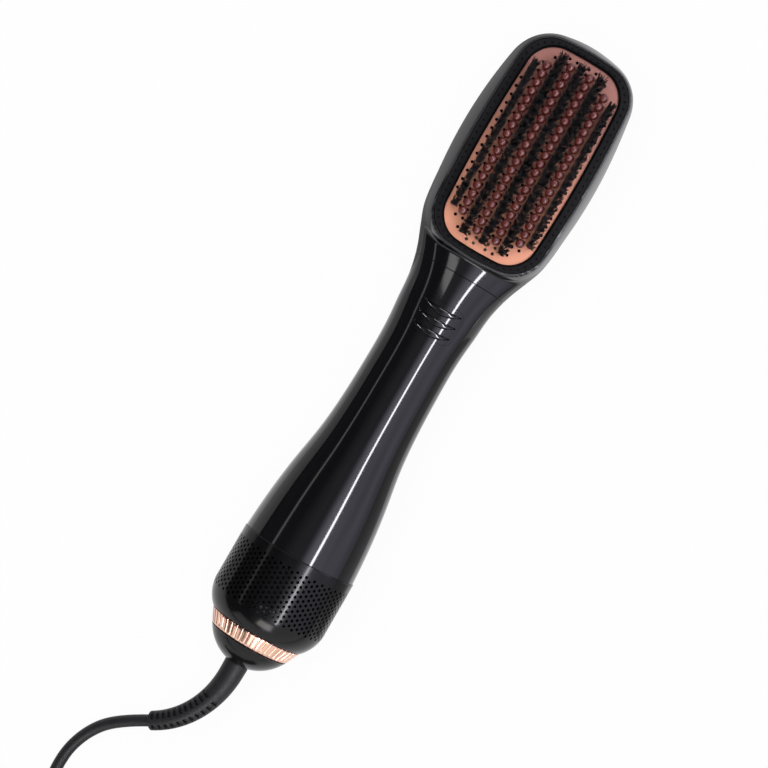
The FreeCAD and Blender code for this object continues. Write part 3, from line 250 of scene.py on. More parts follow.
# meshes
origin = np.array((0.0, -halfTotal, axisHeight))  # mm, the tail end of the handle's axis in the frame
core = 0.01  # mm left open in the middle of turned shapes


def placed(points):  # from mm about the handle's axis to metres in the frame
    return (np.asarray(points, float) + origin) / 1000.0


def unplaced(points):
    return points * 1000.0 - origin


def unit(vectors):
    return vectors / np.linalg.norm(vectors, axis=1)[:, None]


def clamp(value):
    return min(max(value, 0.0), 1.0)


def gridFaces(rows, columns, closed=False):
    faces = []
    for i in range(rows - 1):
        for j in range(columns if closed else columns - 1):
            k = (j + 1) % columns
            faces.append((i * columns + j, i * columns + k, (i + 1) * columns + k, (i + 1) * columns + j))
    return faces


def tubeFaces(rows, columns):  # a closed band with a cap at each end
    last = (rows - 1) * columns
    caps = [tuple(range(columns)), tuple(range(last, last + columns))]
    return gridFaces(rows, columns, closed=True) + caps


def ringFaces(rows, columns):  # a closed band that runs round into itself
    last = (rows - 1) * columns
    seam = [(last + j, last + (j + 1) % columns, (j + 1) % columns, j) for j in range(columns)]
    return gridFaces(rows, columns, closed=True) + seam


def thicken(outer, faces, inner):  # a closed wall between two skins that share their faces
    count = len(outer)
    used = set()
    for face in faces:
        used.update(zip(face, face[1:] + face[:1]))
    walls = [(b, a, a + count, b + count) for a, b in used if (b, a) not in used]
    back = [tuple(count + i for i in reversed(face)) for face in faces]
    return np.vstack([outer, inner]), list(faces) + back + sorted(walls)


def joinMeshes(parts):
    points, faces = [], []
    for partPoints, partFaces in parts:
        start = sum(len(p) for p in points)
        points.append(np.asarray(partPoints, float))
        faces += [tuple(i + start for i in face) for face in partFaces]
    return np.vstack(points), faces


def rawMesh(name, points, faces):
    mesh = bpy.data.meshes.new(name)
    mesh.from_pydata(np.asarray(points).tolist(), [], [list(face) for face in faces])
    work = bmesh.new()
    work.from_mesh(mesh)
    bmesh.ops.recalc_face_normals(work, faces=work.faces)
    work.to_mesh(mesh)
    work.free()
    mesh.update()
    return mesh


def smoothed(mesh, angle=32.0):
    mesh.shade_smooth()
    mesh.set_sharp_from_angle(angle=math.radians(angle))
    return mesh


def addPiece(name, mesh, body, look, slotName, *standsFor):
    obj = linkUp(bpy.data.objects.new(name, mesh))
    mesh.materials.clear()
    mesh.materials.append(finish(look))
    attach(obj, body)
    if standsFor:
        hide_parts(*standsFor)
    return obj


def addSkin(name, points, faces, look, slotName, *standsFor, body="brush", angle=32.0):
    mesh = smoothed(rawMesh(name, points, faces), angle)
    return addPiece(name, mesh, body, look, slotName, *standsFor)


def cutMesh(mesh, cutters, operation="DIFFERENCE"):
    obj = linkUp(bpy.data.objects.new("blank", mesh))
    tools = []
    for cutter in cutters:
        tool = linkUp(bpy.data.objects.new("cutter", cutter))
        step = obj.modifiers.new("cut", "BOOLEAN")
        step.operation = operation
        step.solver = "EXACT"
        step.object = tool
        tools.append(tool)
    bpy.context.view_layer.update()
    result = bpy.data.meshes.new_from_object(obj.evaluated_get(bpy.context.evaluated_depsgraph_get()))
    for tool in tools + [obj]:
        bpy.data.objects.remove(tool)
    return result


def readAll(items, key, width, kind=float):
    values = np.empty(len(items) * width, kind)
    items.foreach_get(key, values)
    return values.reshape(-1, width)


def polish(mesh, normalAt, close=0.93):  # true surface normals wherever a face lies on the smooth body
    owner = readAll(mesh.loops, "vertex_index", 1, int)[:, 0]
    corners = readAll(mesh.polygons, "loop_total", 1, int)[:, 0]
    flat = np.repeat(readAll(mesh.polygons, "normal", 3), corners, axis=0)
    given = readAll(mesh.corner_normals, "vector", 3)
    wanted = normalAt(readAll(mesh.vertices, "co", 3))[owner]
    good = (wanted * flat).sum(1) > close
    given[good] = wanted[good]
    mesh.normals_split_custom_set(given.tolist())


def circle(radius, s, angles):  # points round the handle's axis
    return np.stack([radius * np.sin(angles), np.broadcast_to(s, angles.shape), radius * np.cos(angles)], 1)


def lathe(profile, segments):
    angles = np.linspace(0, 2 * math.pi, segments, endpoint=False)
    return np.vstack([circle(r, s, angles) for r, s in profile]), tubeFaces(len(profile), segments)


def closedLathe(profile, segments):  # the profile runs round into itself
    return lathe(profile, segments)[0], ringFaces(len(profile), segments)


def upright(profile, segments, x, s):  # a lathe that stands along z
    points, faces = lathe(profile, segments)
    return np.stack([points[:, 0] + x, points[:, 2] + s, points[:, 1]], 1), faces


def post(radius, low, high):  # profile of a plain round post
    return [(core, low), (radius, low), (radius, high), (core, high)]


def atHeight(loop, z):
    return np.column_stack([loop, np.full(len(loop), z)])


def prism(loop, low, high):  # a block with the loop's outline
    return np.vstack([atHeight(loop, low), atHeight(loop, high)]), tubeFaces(2, len(loop))


def roundedLoop(corners, radius, steps):  # a quarter turn about each corner's middle
    loop = []
    for first, (x, y) in zip((0, 90, 180, 270), corners):
        for turn in np.radians(np.linspace(first, first + 90, steps)):
            loop.append((x + radius * math.cos(turn), y + radius * math.sin(turn)))
    return loop


def arcPoints(a, b, c, count):  # an arc through three points of a profile
    (ax, ay), (bx, by), (cx, cy) = a, b, c
    d = 2 * (ax * (by - cy) + bx * (cy - ay) + cx * (ay - by))
    ux = ((ax**2 + ay**2) * (by - cy) + (bx**2 + by**2) * (cy - ay) + (cx**2 + cy**2) * (ay - by)) / d
    uy = ((ax**2 + ay**2) * (cx - bx) + (bx**2 + by**2) * (ax - cx) + (cx**2 + cy**2) * (bx - ax)) / d
    radius = math.hypot(ax - ux, ay - uy)
    angles = [math.atan2(y - uy, x - ux) for x, y in (a, b, c)]
    for i in (1, 2):
        while angles[i] - angles[i - 1] > math.pi:
            angles[i] -= 2 * math.pi
        while angles[i] - angles[i - 1] < -math.pi:
            angles[i] += 2 * math.pi
    steps = np.linspace(angles[0], angles[2], count)
    return [(ux + radius * math.cos(t), uy + radius * math.sin(t)) for t in steps]


def smoothLine(xs, ys):  # a natural cubic through the stations
    xs, ys = np.array(xs, float), np.array(ys, float)
    count, gap = len(xs), np.diff(xs)
    matrix, right = np.eye(count), np.zeros(count)
    for i in range(1, count - 1):
        matrix[i, i - 1 : i + 2] = gap[i - 1], 2 * (gap[i - 1] + gap[i]), gap[i]
        right[i] = 6 * ((ys[i + 1] - ys[i]) / gap[i] - (ys[i] - ys[i - 1]) / gap[i - 1])
    bend = np.linalg.solve(matrix, right)

    def at(x):
        i = np.clip(np.searchsorted(xs, x) - 1, 0, count - 2)
        a, b, g = xs[i + 1] - x, x - xs[i], gap[i]
        cubic = (bend[i] * a**3 + bend[i + 1] * b**3) / (6 * g)
        return cubic + (ys[i] / g - bend[i] * g / 6) * a + (ys[i + 1] / g - bend[i + 1] * g / 6) * b

    return at


# cord: straight out of the strain relief, down to the table, into a tied coil and on to the plug
cordLine = {
    "diameter": 6.0,
    "length": 1733.0,
    "route": [
        (-21.751, -217.919, 19.657),
        (-36.272, -227.169, 12.886),
        (-46.6, -241.2, 6.6),
        (-51.3, -258.6, 3.3),
        (-48.2, -282.1, 3.1),
        (-37.2, -303.3, 4.6),
        (-21.5, -320.2, 4.6),
    ],
    "turns": 7,
    "outer": 46.5,
    "pitch": 6.6,
    "blend": 0.25,
    "perTurn": 24,
    "centre": (15.928, -292.186, 4.6),
    "first": -2.3704,
    "tail": [
        (-13.333, -328.992, 11.2),
        (-0.401, -342.912, 11.2),
        (16.804, -350.974, 9.7),
        (35.658, -353.325, 9.7),
    ],
}


def coilPoint(turn):
    half, blend = cordLine["turns"] / 2, cordLine["blend"]
    left = abs(turn - half)
    if left < blend:
        left = (left**2 + blend**2) / (2 * blend)
    radius = cordLine["outer"] - cordLine["pitch"] * (half - left)
    radius /= math.cos(math.pi / cordLine["perTurn"])  # the line runs inside its control points
    climb = clamp((turn - half + blend) / (2 * blend))
    x, y, z = cordLine["centre"]
    angle = cordLine["first"] + 2 * math.pi * turn
    lift = cordLine["pitch"] * climb**2 * (3 - 2 * climb)
    return (x + radius * math.cos(angle), y + radius * math.sin(angle), z + lift)


def makeCord():
    steps = cordLine["turns"] * cordLine["perTurn"]
    coil = [coilPoint(i / cordLine["perTurn"]) for i in range(steps + 1)]
    points = cordLine["route"] + coil + cordLine["tail"]
    curve = bpy.data.curves.new("mainsCord", "CURVE")
    curve.dimensions = "3D"
    curve.bevel_depth = cordLine["diameter"] / 2000.0
    curve.bevel_resolution = 6
    curve.resolution_u = 8
    curve.use_fill_caps = True
    line = curve.splines.new("NURBS")
    line.points.add(len(points) - 1)
    for knot, point in zip(line.points, points):
        knot.co = (*(c / 1000.0 for c in point), 1.0)
    line.order_u = 3
    line.use_endpoint_u = True
    curve.materials.append(finish("rubberBlack"))
    obj = linkUp(bpy.data.objects.new("mainsCord", curve))
    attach(obj, "brush")
    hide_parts("power_cord", "cord_coil", "cord_tail")
    return obj


# strain relief: a smooth sleeve, then slots on both flanks with a spine left between them
reliefShape = {
    "at": (0.0, -2.55, 0.0),
    "root": 6.1,
    "end": 4.75,
    "tip": 0.35,
    "straight": 5.1,
    "bend": 48.0,
    "turn": 60.0,
    "drop": 25.0,
    "smooth": 20.0,
    "ribs": 11,
    "deep": 1.3,
    "share": 0.5,
    "slope": 0.1,
    "slot": (16.0, 66.0),
    "slotSlope": 6.0,
    "round": 90,
    "plainSteps": 16,
    "ribSteps": (0.0, 0.03, 0.07, 0.1, 0.25, 0.4, 0.43, 0.47, 0.5, 0.75),
    "tipSteps": (0.35, 0.12, 0.0),
    "collar": [(4.85, -2.55), (4.85, 4.6), (7.6, 4.6), (7.6, 6.6)],
}
reliefLength = reliefShape["straight"] + reliefShape["bend"] * math.radians(reliefShape["turn"])
reliefPitch = (reliefLength - reliefShape["smooth"]) / reliefShape["ribs"]


def reliefFrame(distance):
    drop = math.radians(reliefShape["drop"])
    aside = np.array((-math.cos(drop), 0.0, -math.sin(drop)))
    back = np.array((0.0, -1.0, 0.0))
    straight, bend = reliefShape["straight"], reliefShape["bend"]
    if distance <= straight:
        return reliefShape["at"] + back * distance, back
    angle = (distance - straight) / bend
    spot = reliefShape["at"] + back * (straight + bend * math.sin(angle)) + aside * (bend * (1 - math.cos(angle)))
    return spot, back * math.cos(angle) + aside * math.sin(angle)


def reliefSlot(distance, angle):
    if distance < reliefShape["smooth"] or distance > reliefLength - reliefShape["tip"]:
        return 0.0
    past = (distance - reliefShape["smooth"]) % reliefPitch / reliefPitch
    along = clamp(min(past, reliefShape["share"] - past) / reliefShape["slope"])
    turned = abs((math.degrees(angle) + 90) % 180 - 90)  # from the upper or the lower spine
    low, high = reliefShape["slot"]
    across = clamp(min(turned - low, high - turned) / reliefShape["slotSlope"])
    return reliefShape["deep"] * along * across


def makeRelief():
    stops = list(np.linspace(0, reliefShape["smooth"], reliefShape["plainSteps"], endpoint=False))
    for i in range(reliefShape["ribs"]):
        stops += [reliefShape["smooth"] + reliefPitch * (i + share) for share in reliefShape["ribSteps"]]
    stops += [reliefLength - left for left in reliefShape["tipSteps"]]
    angles = np.linspace(0, 2 * math.pi, reliefShape["round"], endpoint=False)
    sleeve = []
    for distance in stops:
        spot, way = reliefFrame(distance)
        side = np.cross(way, (0.0, 0.0, 1.0))
        side /= np.linalg.norm(side)
        up = np.cross(side, way)
        radius = reliefShape["root"] + (reliefShape["end"] - reliefShape["root"]) * distance / reliefLength
        radius -= max(0.0, distance - reliefLength + reliefShape["tip"])
        for angle in angles:
            reach = radius - reliefSlot(distance, angle)
            sleeve.append(spot + (side * math.sin(angle) + up * math.cos(angle)) * reach)
    profile = reliefShape["collar"]
    collar = lathe([(core, profile[0][1]), *profile, (core, profile[-1][1])], 48)
    points, faces = joinMeshes([(sleeve, tubeFaces(len(stops), len(angles))), collar])
    return addSkin("strainRelief", placed(points), faces, "rubberBlack", "cord_rubber", "strain_relief", angle=40.0)


# tie round the coil
tieShape = {
    "turn": 0.25,
    "width": 9.0,
    "thick": 1.2,
    "play": 0.25,
    "sag": 0.8,
    "corner": 2.6,
    "bend": 8,
    "soft": 0.25,
}


def turnedTo(points, angle, at):  # mm about a spot on the table to metres in the frame
    cos, sin = math.cos(angle), math.sin(angle)
    return (np.asarray(points) @ np.array([[cos, sin, 0], [-sin, cos, 0], [0, 0, 1]]) + at) / 1000.0


def makeTie():
    thick, play, soft, corner = [tieShape[key] for key in ("thick", "play", "soft", "corner")]
    radius, pitch = cordLine["diameter"] / 2, cordLine["pitch"]
    right = cordLine["outer"] - pitch * tieShape["turn"] + radius + play - corner
    left = cordLine["outer"] - pitch * cordLine["turns"] / 2 - radius - tieShape["sag"] + corner
    low, high = corner - radius - play, pitch + radius + play - corner
    corners = [(right, high), (left, high), (left, low), (right, low)]
    half = tieShape["width"] / 2
    skin = [(0.0, -half), (thick - soft, -half), (thick, soft - half)]
    skin += [(thick, half - soft), (thick - soft, half), (0.0, half)]
    rows = []
    for grow, along in skin:
        rows.append([(x, along, z) for x, z in roundedLoop(corners, corner + grow, tieShape["bend"])])
    angle = cordLine["first"] + 2 * math.pi * tieShape["turn"]
    points = turnedTo(np.vstack(rows), angle, cordLine["centre"])
    faces = ringFaces(len(skin), len(rows[0]))
    return addSkin("cordTie", points, faces, "rubberBlack", "cord_rubber", "cord_tie")


# plug: a soft oval body with a grip and two round pins
plugShape = {
    "at": (35.658, -353.325, 9.7),
    "heading": -7.1081,
    "sections": [(0.0, 4.6, 4.6), (12.0, 6.2, 5.6), (25.0, 15.0, 9.0), (32.0, 17.4, 9.6), (42.0, 17.4, 9.6)],
    "cordEnd": [(0.0, 0.02), (0.0, 0.9)],
    "run": (0.4, 41.2, 70),
    "faceEnd": [(41.6, 0.99), (41.9, 0.965), (42.0, 0.93), (42.0, 0.02)],
    "round": 72,
    "grip": (13.0, 27.0),
    "gripFrom": 12.0,
    "gripTurn": 1.05,
    "gripDeep": 0.35,
    "gripEdge": 0.35,
    "pinRadius": 2.4,
    "pinLength": 19.0,
    "pinSpacing": 19.0,
}


def atPlug(points):
    return turnedTo(points, math.radians(plugShape["heading"]), plugShape["at"])


def makePlug():
    along, wide, tall = zip(*plugShape["sections"])
    wideAt, tallAt = smoothLine(along, wide), smoothLine(along, tall)
    angles = np.linspace(0, 2 * math.pi, plugShape["round"], endpoint=False)
    rows = plugShape["cordEnd"] + [(d, 1.0) for d in np.linspace(*plugShape["run"])] + plugShape["faceEnd"]
    first, last = plugShape["grip"]
    points = []
    for d, share in rows:
        w, h = min(float(wideAt(d)), max(wide)) * share, min(float(tallAt(d)), max(tall)) * share
        wave = math.sin((d - plugShape["gripFrom"]) * plugShape["gripTurn"]) if first < d < last else 0.0
        grip = plugShape["gripDeep"] * max(0.0, wave)
        for a in angles:
            dent = grip * max(0.0, abs(math.sin(a)) - plugShape["gripEdge"])
            points.append((d, (w - dent) * math.cos(a), (h - dent) * math.sin(a)))
    faces = tubeFaces(len(rows), len(angles))
    body = addSkin("plugBody", atPlug(points), faces, "rubberBlack", "cord_rubber", "plug_body", angle=50.0)
    r, length = plugShape["pinRadius"], plugShape["pinLength"]
    turns = np.linspace(0, math.pi / 2, 8)
    tip = [(r / 2 * (1 + math.cos(t)), length - r / 2 * (1 - math.sin(t))) for t in turns]
    parts = []
    for side in (-0.5, 0.5):
        points, faces = lathe([(core, 0.0), (r, 0.0), *tip, (core, length)], 40)
        x, s, z = points.T
        parts.append((np.stack([s + along[-1], x + side * plugShape["pinSpacing"], z], 1), faces))
    points, faces = joinMeshes(parts)
    pins = addSkin("plugPins", atPlug(points), faces, "nickelPin", "pin_plating", "plug_pins", angle=40.0)
    return [body, pins]


cord = makeCord()
cordPieces = [makeRelief(), makeTie(), *makePlug()]
print("cord laid out")


# handle: an hourglass of ovals that flattens towards the neck
handleShape = {
    "start": 58.2,
    "end": 211.8,
    "seams": (58.0, 212.0),
    "base": 29.8,
    "waist": 19.9,
    "taper": [
        (0.0, 0.96), (0.1, 0.85), (0.2, 0.68), (0.29, 0.465), (0.36, 0.28), (0.43, 0.15), (0.52, 0.055), (0.64, 0.0),
    ],
    "neckFront": 15.4,
    "neckBack": 26.0,
    "flare": [
        (-32.0, 0.025, 0.10, 0.03), (-22.0, 0.080, 0.25, 0.10), (-10.0, 0.145, 0.46, 0.22), (0.0, 0.275, 0.66, 0.40),
        (6.0, 0.395, 0.78, 0.52), (12.0, 0.545, 0.90, 0.66), (22.0, 0.745, 1.00, 0.85), (46.0, 0.800, 1.00, 1.00),
    ],
    "wall": 2.2,
    "edge": 0.22,
    "edgeShare": 0.8,
    "endStep": 1.0,
    "seamAngle": 0.03,
    "steps": (150, 110),
    "bossCover": 0.4,
    "bossDepth": 15.0,
    "screws": [(17.6, 42.0), (15.0, 141.0)],
}
headShape = {
    "start": 212.0,
    "centre": 277.8,
    "widest": (36.2, 62.0, 230.0, 50.0, 23.6),
    "face": (31.2, 56.6, 500.0, 120.0, 17.8),
    "back": (19.0, 44.0, 300.0, 70.0, 14.0),
    "plate": (25.2, 52.2, 600.0, 160.0, 14.5),
    "faceHeight": 18.0,
    "backDepth": 29.8,
    "frontCurve": 1.3,
    "backCurve": 2.0,
    "innerFront": 12.4,
    "innerBack": 27.6,
    "neckReach": 257.8,
    "blend": 2.4,
    "rim": 0.75,
    "bezelSeat": 15.8,
    "plateSeat": 14.2,
    "flange": 1.55,
    "ledge": 1.2,
    "screws": [(27.6, -27.0), (27.6, 27.0)],
    "wellRadius": 2.6,
    "wellTop": -7.0,
    "bossWall": 1.5,
    "bossTop": -4.6,
    "wellFoot": -40.0,
    "cutTops": (25.0, 20.0),
    "cutFoot": 6.0,
    "farthest": 60.0,
    "halvings": 34,
    "polishReach": 40.0,
}


def bodyLines():
    base, waist = handleShape["base"], handleShape["waist"]
    start, end = handleShape["start"], handleShape["end"]
    rows = []
    for share, left in handleShape["taper"]:
        radius = waist + (base - waist) * left
        rows.append((start + (end - start) * share, radius, radius, radius))
    for past, wide, front, back in handleShape["flare"]:
        rows.append((
            end + past,
            waist + (headShape["widest"][0] - waist) * wide,
            waist + (handleShape["neckFront"] - waist) * front,
            waist + (handleShape["neckBack"] - waist) * back,
        ))
    stations, *sizes = zip(*rows)
    return [smoothLine(stations, size) for size in sizes]


widthAt, riseAt, depthAt = bodyLines()


def cornerOf(size):
    halfWidth, halfLength, sideRadius, endRadius, cornerRadius = size
    sideX, endY = halfWidth - sideRadius, halfLength - endRadius
    reachSide, reachEnd = sideRadius - cornerRadius, endRadius - cornerRadius
    apart = np.hypot(sideX, endY)
    along = (reachSide**2 - reachEnd**2 + apart**2) / (2 * apart)
    across = np.sqrt(reachSide**2 - along**2)
    wayX, wayY = -sideX / apart, endY / apart
    return sideX + wayX * along - wayY * across, wayY * along + wayX * across


def halfWidthAt(y, size):  # how wide an outline is at a distance from its middle
    halfWidth, halfLength, sideRadius, endRadius, cornerRadius = size
    cornerX, cornerY = cornerOf(size)
    sideEnd = sideRadius * cornerY / (sideRadius - cornerRadius)
    endY = halfLength - endRadius
    endStart = endY + endRadius * (cornerY - endY) / (endRadius - cornerRadius)
    side = halfWidth - sideRadius + np.sqrt(np.clip(sideRadius**2 - y**2, 0, None))
    corner = cornerX + np.sqrt(np.clip(cornerRadius**2 - (y - cornerY) ** 2, 0, None))
    end = np.sqrt(np.clip(endRadius**2 - (y - endY) ** 2, 0, None))
    wide = np.where(y <= sideEnd, side, np.where(y <= endStart, corner, end))
    return np.where(y <= halfLength, wide, -1.0)


def sizeAt(rim, level, inset):
    curve = headShape["frontCurve"] if rim is headShape["face"] else headShape["backCurve"]
    left = np.clip(1 - level**curve, 0, 1) ** (1 / curve)
    return [r + (w - r) * left - inset for r, w in zip(rim, headShape["widest"])]


outlineSteps = {"side": 18, "corner": 30, "end": 16}


def outlineQuarter(size):  # from the middle of the side to the middle of the end
    halfWidth, halfLength, sideRadius, endRadius, cornerRadius = size
    cornerX, cornerY = cornerOf(size)
    first = math.asin(cornerY / (sideRadius - cornerRadius))
    endY = halfLength - endRadius
    second = math.atan2(cornerY - endY, cornerX)
    spots = []
    for angle in np.linspace(0, first, outlineSteps["side"], endpoint=False):
        spots.append((halfWidth - sideRadius + sideRadius * math.cos(angle), sideRadius * math.sin(angle)))
    for angle in np.linspace(first, second, outlineSteps["corner"], endpoint=False):
        spots.append((cornerX + cornerRadius * math.cos(angle), cornerY + cornerRadius * math.sin(angle)))
    for angle in np.linspace(second, math.pi / 2, outlineSteps["end"] + 1):
        spots.append((endRadius * math.cos(angle), endY + endRadius * math.sin(angle)))
    return np.array(spots)


def outlineHalf(size):
    quarter = outlineQuarter(size)
    mirror = quarter[-2::-1] * (-1, 1)
    return np.vstack([quarter, mirror])


def wholeLoop(size, inset):
    half = outlineHalf([value - inset for value in size])
    return np.vstack([half[:-1], -half[:-1]])


def drumMesh(size, inset, low, high):
    points, faces = prism(wholeLoop(size, inset) + (0.0, headShape["centre"]), low, high)
    return rawMesh("drum", placed(points), faces)


def bowlReach(station, angle, rim, height, inset):  # ray from the axis to the head's wall
    cos, sin = np.abs(np.cos(angle)), np.sin(angle)
    away = np.abs(station - headShape["centre"])
    low = np.zeros(np.broadcast(station, angle).shape)
    high = np.full(low.shape, headShape["farthest"])
    for _ in range(headShape["halvings"]):
        middle = (low + high) / 2
        level = middle * sin / height
        inside = (level <= 1.0) & (middle * cos <= halfWidthAt(away, sizeAt(rim, np.clip(level, 0, 1), inset)))
        low, high = np.where(inside, middle, low), np.where(inside, high, middle)
    return low


def bodyReach(station, angle, side, inset=0.0, heightIn=None):
    front = side > 0
    rim = headShape["face"] if front else headShape["back"]
    height = heightIn or (headShape["faceHeight"] if front else headShape["backDepth"])
    rise = (riseAt if front else depthAt)(np.minimum(station, headShape["neckReach"])) - inset
    wide = widthAt(np.minimum(station, headShape["neckReach"])) - inset
    neck = 1.0 / np.sqrt((np.cos(angle) / wide) ** 2 + (np.sin(angle) / rise) ** 2)
    neck = np.where(station > headShape["neckReach"], 0.0, neck)
    bowl = bowlReach(station, angle, rim, height, inset)
    near = np.clip(headShape["blend"] - np.abs(neck - bowl), 0, None) / headShape["blend"]
    return np.maximum(neck, bowl) + near**2 * headShape["blend"] / 4


def ovalNormal(points):  # normal of the handle's oval body
    x, s, z = unplaced(points).T
    step = 0.05

    def slopeOf(line):
        return (line(s + step) - line(s - step)) / (2 * step)

    wide, high = widthAt(s), np.where(z >= 0, riseAt(s), depthAt(s))
    highSlope = np.where(z >= 0, slopeOf(riseAt), slopeOf(depthAt))
    slope = -(x**2) * slopeOf(widthAt) / wide**3 - z**2 * highSlope / high**3
    return unit(np.stack([x / wide**2, slope, z / high**2], 1))


def screwPosts(places, radius, top):  # one on each side at every place
    profile = post(radius, headShape["wellFoot"], top)
    return [upright(profile, 40, side * x, s) for x, s in places for side in (-1, 1)]


def withWells(shell, thick, places):  # bosses trimmed by the body they stand in, then bored
    radius = headShape["wellRadius"]
    points, faces = joinMeshes(screwPosts(places, radius + headShape["bossWall"], headShape["bossTop"]))
    bosses = cutMesh(rawMesh("bosses", placed(points), faces), [thick], "INTERSECT")
    bores = screwPosts(places, radius, headShape["wellTop"])
    wells = [rawMesh("well", placed(points), faces) for points, faces in bores]
    return cutMesh(cutMesh(shell, [bosses], "UNION"), wells)


def handleHalf(side, cover=0.0, wall=handleShape["wall"]):
    (start, end), edge, gap = handleShape["seams"], handleShape["edge"], handleShape["endStep"]
    alongSteps, aroundSteps = handleShape["steps"]
    run = np.linspace(start + gap, end - gap, alongSteps)
    stations = np.concatenate([[start, start + edge], run, [end - edge, end]])
    small, lean = edge / handleShape["waist"], handleShape["seamAngle"]
    sweep = np.linspace(lean, math.pi - lean, aroundSteps)
    angles = np.concatenate([[0.0, small], sweep, [math.pi - small, math.pi]])
    s, a = np.meshgrid(stations, angles, indexing="ij")
    inset = np.zeros(s.shape)
    inset[[0, -1], :] = edge
    inset[:, [0, -1]] = edge * handleShape["edgeShare"]
    high = riseAt(s) if side > 0 else depthAt(s)

    def skin(deep):
        x, z = (widthAt(s) - deep) * np.cos(a), side * (high - deep) * np.sin(a)
        return np.stack([x, s, z], -1).reshape(-1, 3)

    points, faces = thicken(skin(inset + cover), gridFaces(*s.shape), skin(wall))
    return rawMesh("handle", placed(points), faces)


# button: it follows the handle's skin and has crescent grooves across it
buttonShape = {
    "station": 187.8,
    "halfWidth": 11.6,
    "halfLength": 9.2,
    "corner": 5.0,
    "play": 0.1,
    "deep": 3.3,
    "lip": 0.9,
    "grooves": 3,
    "pitch": 5.75,
    "grooveHalf": 10.4,
    "grooveRise": 2.2,
    "grooveWidth": 3.2,
    "grooveDeep": 1.0,
    "grooveEnd": 3.0,
    "cornerSteps": 14,
    "reach": (5.0, 30.0),
    "skirt": 1.5,
    "lipGap": 0.3,
    "grid": (132, 150),
}


def buttonPrism(grow):
    wide, long = [buttonShape[key] - buttonShape["corner"] for key in ("halfWidth", "halfLength")]
    corners = [(wide, long), (-wide, long), (-wide, -long), (wide, -long)]
    loop = np.array(roundedLoop(corners, buttonShape["corner"] + grow, buttonShape["cornerSteps"]))
    points, faces = prism(loop + (0.0, buttonShape["station"]), *buttonShape["reach"])
    return rawMesh("prism", placed(points), faces)


def makeHandle():
    front = smoothed(cutMesh(handleHalf(1), [buttonPrism(0.0)]))
    places = [(x, handleShape["start"] + y) for x, y in handleShape["screws"]]
    thick = handleHalf(-1, handleShape["bossCover"], handleShape["bossDepth"])
    rear = smoothed(withWells(handleHalf(-1), thick, places))
    for name, mesh, node in (("handleFront", front, "handle_front_shell"), ("handleRear", rear, "handle_rear_shell")):
        polish(mesh, ovalNormal)
        addPiece(name, mesh, "brush", "glossBlack", "gloss_black", node)


def grooveDepth(x, y):  # a smile-shaped hollow, deepest in its middle
    deep = np.zeros(x.shape)
    rise, width = buttonShape["grooveRise"], buttonShape["grooveWidth"]
    share = np.clip(1 - (x / buttonShape["grooveHalf"]) ** 2, 0, None)
    for i in range(buttonShape["grooves"]):
        top = (i - (buttonShape["grooves"] - 1) / 2) * buttonShape["pitch"] + rise / 2
        low, high = top - (rise + width / 2) * share, top - (rise - width / 2) * share
        inside = np.clip((y - low) / np.maximum(high - low, 1e-6), 0, 1)
        scoop = np.sqrt(np.clip(inside * (1 - inside) * 4, 0, 1)) * np.clip(share * buttonShape["grooveEnd"], 0, 1)
        deep = np.maximum(deep, buttonShape["grooveDeep"] * scoop)
    return deep


def makeButton():
    wide, long = [buttonShape[key] + buttonShape["skirt"] for key in ("halfWidth", "halfLength")]
    across, along = buttonShape["grid"]
    x, y = np.meshgrid(np.linspace(-wide, wide, across), np.linspace(-long, long, along), indexing="xy")
    s = y + buttonShape["station"]

    def skin(deep):
        w, h = widthAt(s) - deep, riseAt(s) - deep
        return np.stack([x, s, h * np.sqrt(1 - (x / w) ** 2)], -1).reshape(-1, 3)

    def block(top, grow):
        points, faces = thicken(skin(top), gridFaces(*x.shape), skin(buttonShape["deep"]))
        return cutMesh(rawMesh("block", placed(points), faces), [buttonPrism(grow)], "INTERSECT")

    cap = block(grooveDepth(x, y), -buttonShape["play"])
    lip = block(handleShape["wall"] + buttonShape["lipGap"], buttonShape["lip"])
    button = smoothed(cutMesh(cap, [lip], "UNION"), 38.0)
    addPiece("coolButton", button, "button", "glossBlack", "gloss_black", "cool_button")


makeHandle()
makeButton()
print("handle and button made")


# head: a rounded tray that grows out of the neck
headSteps = {
    "neck": 60,
    "neckEnd": 226.0,
    "neckStep": 0.8,
    "near": 70,
    "wall": 34,
    "crowd": 1.8,
    "lean": 0.03,
    "top": 16,
}


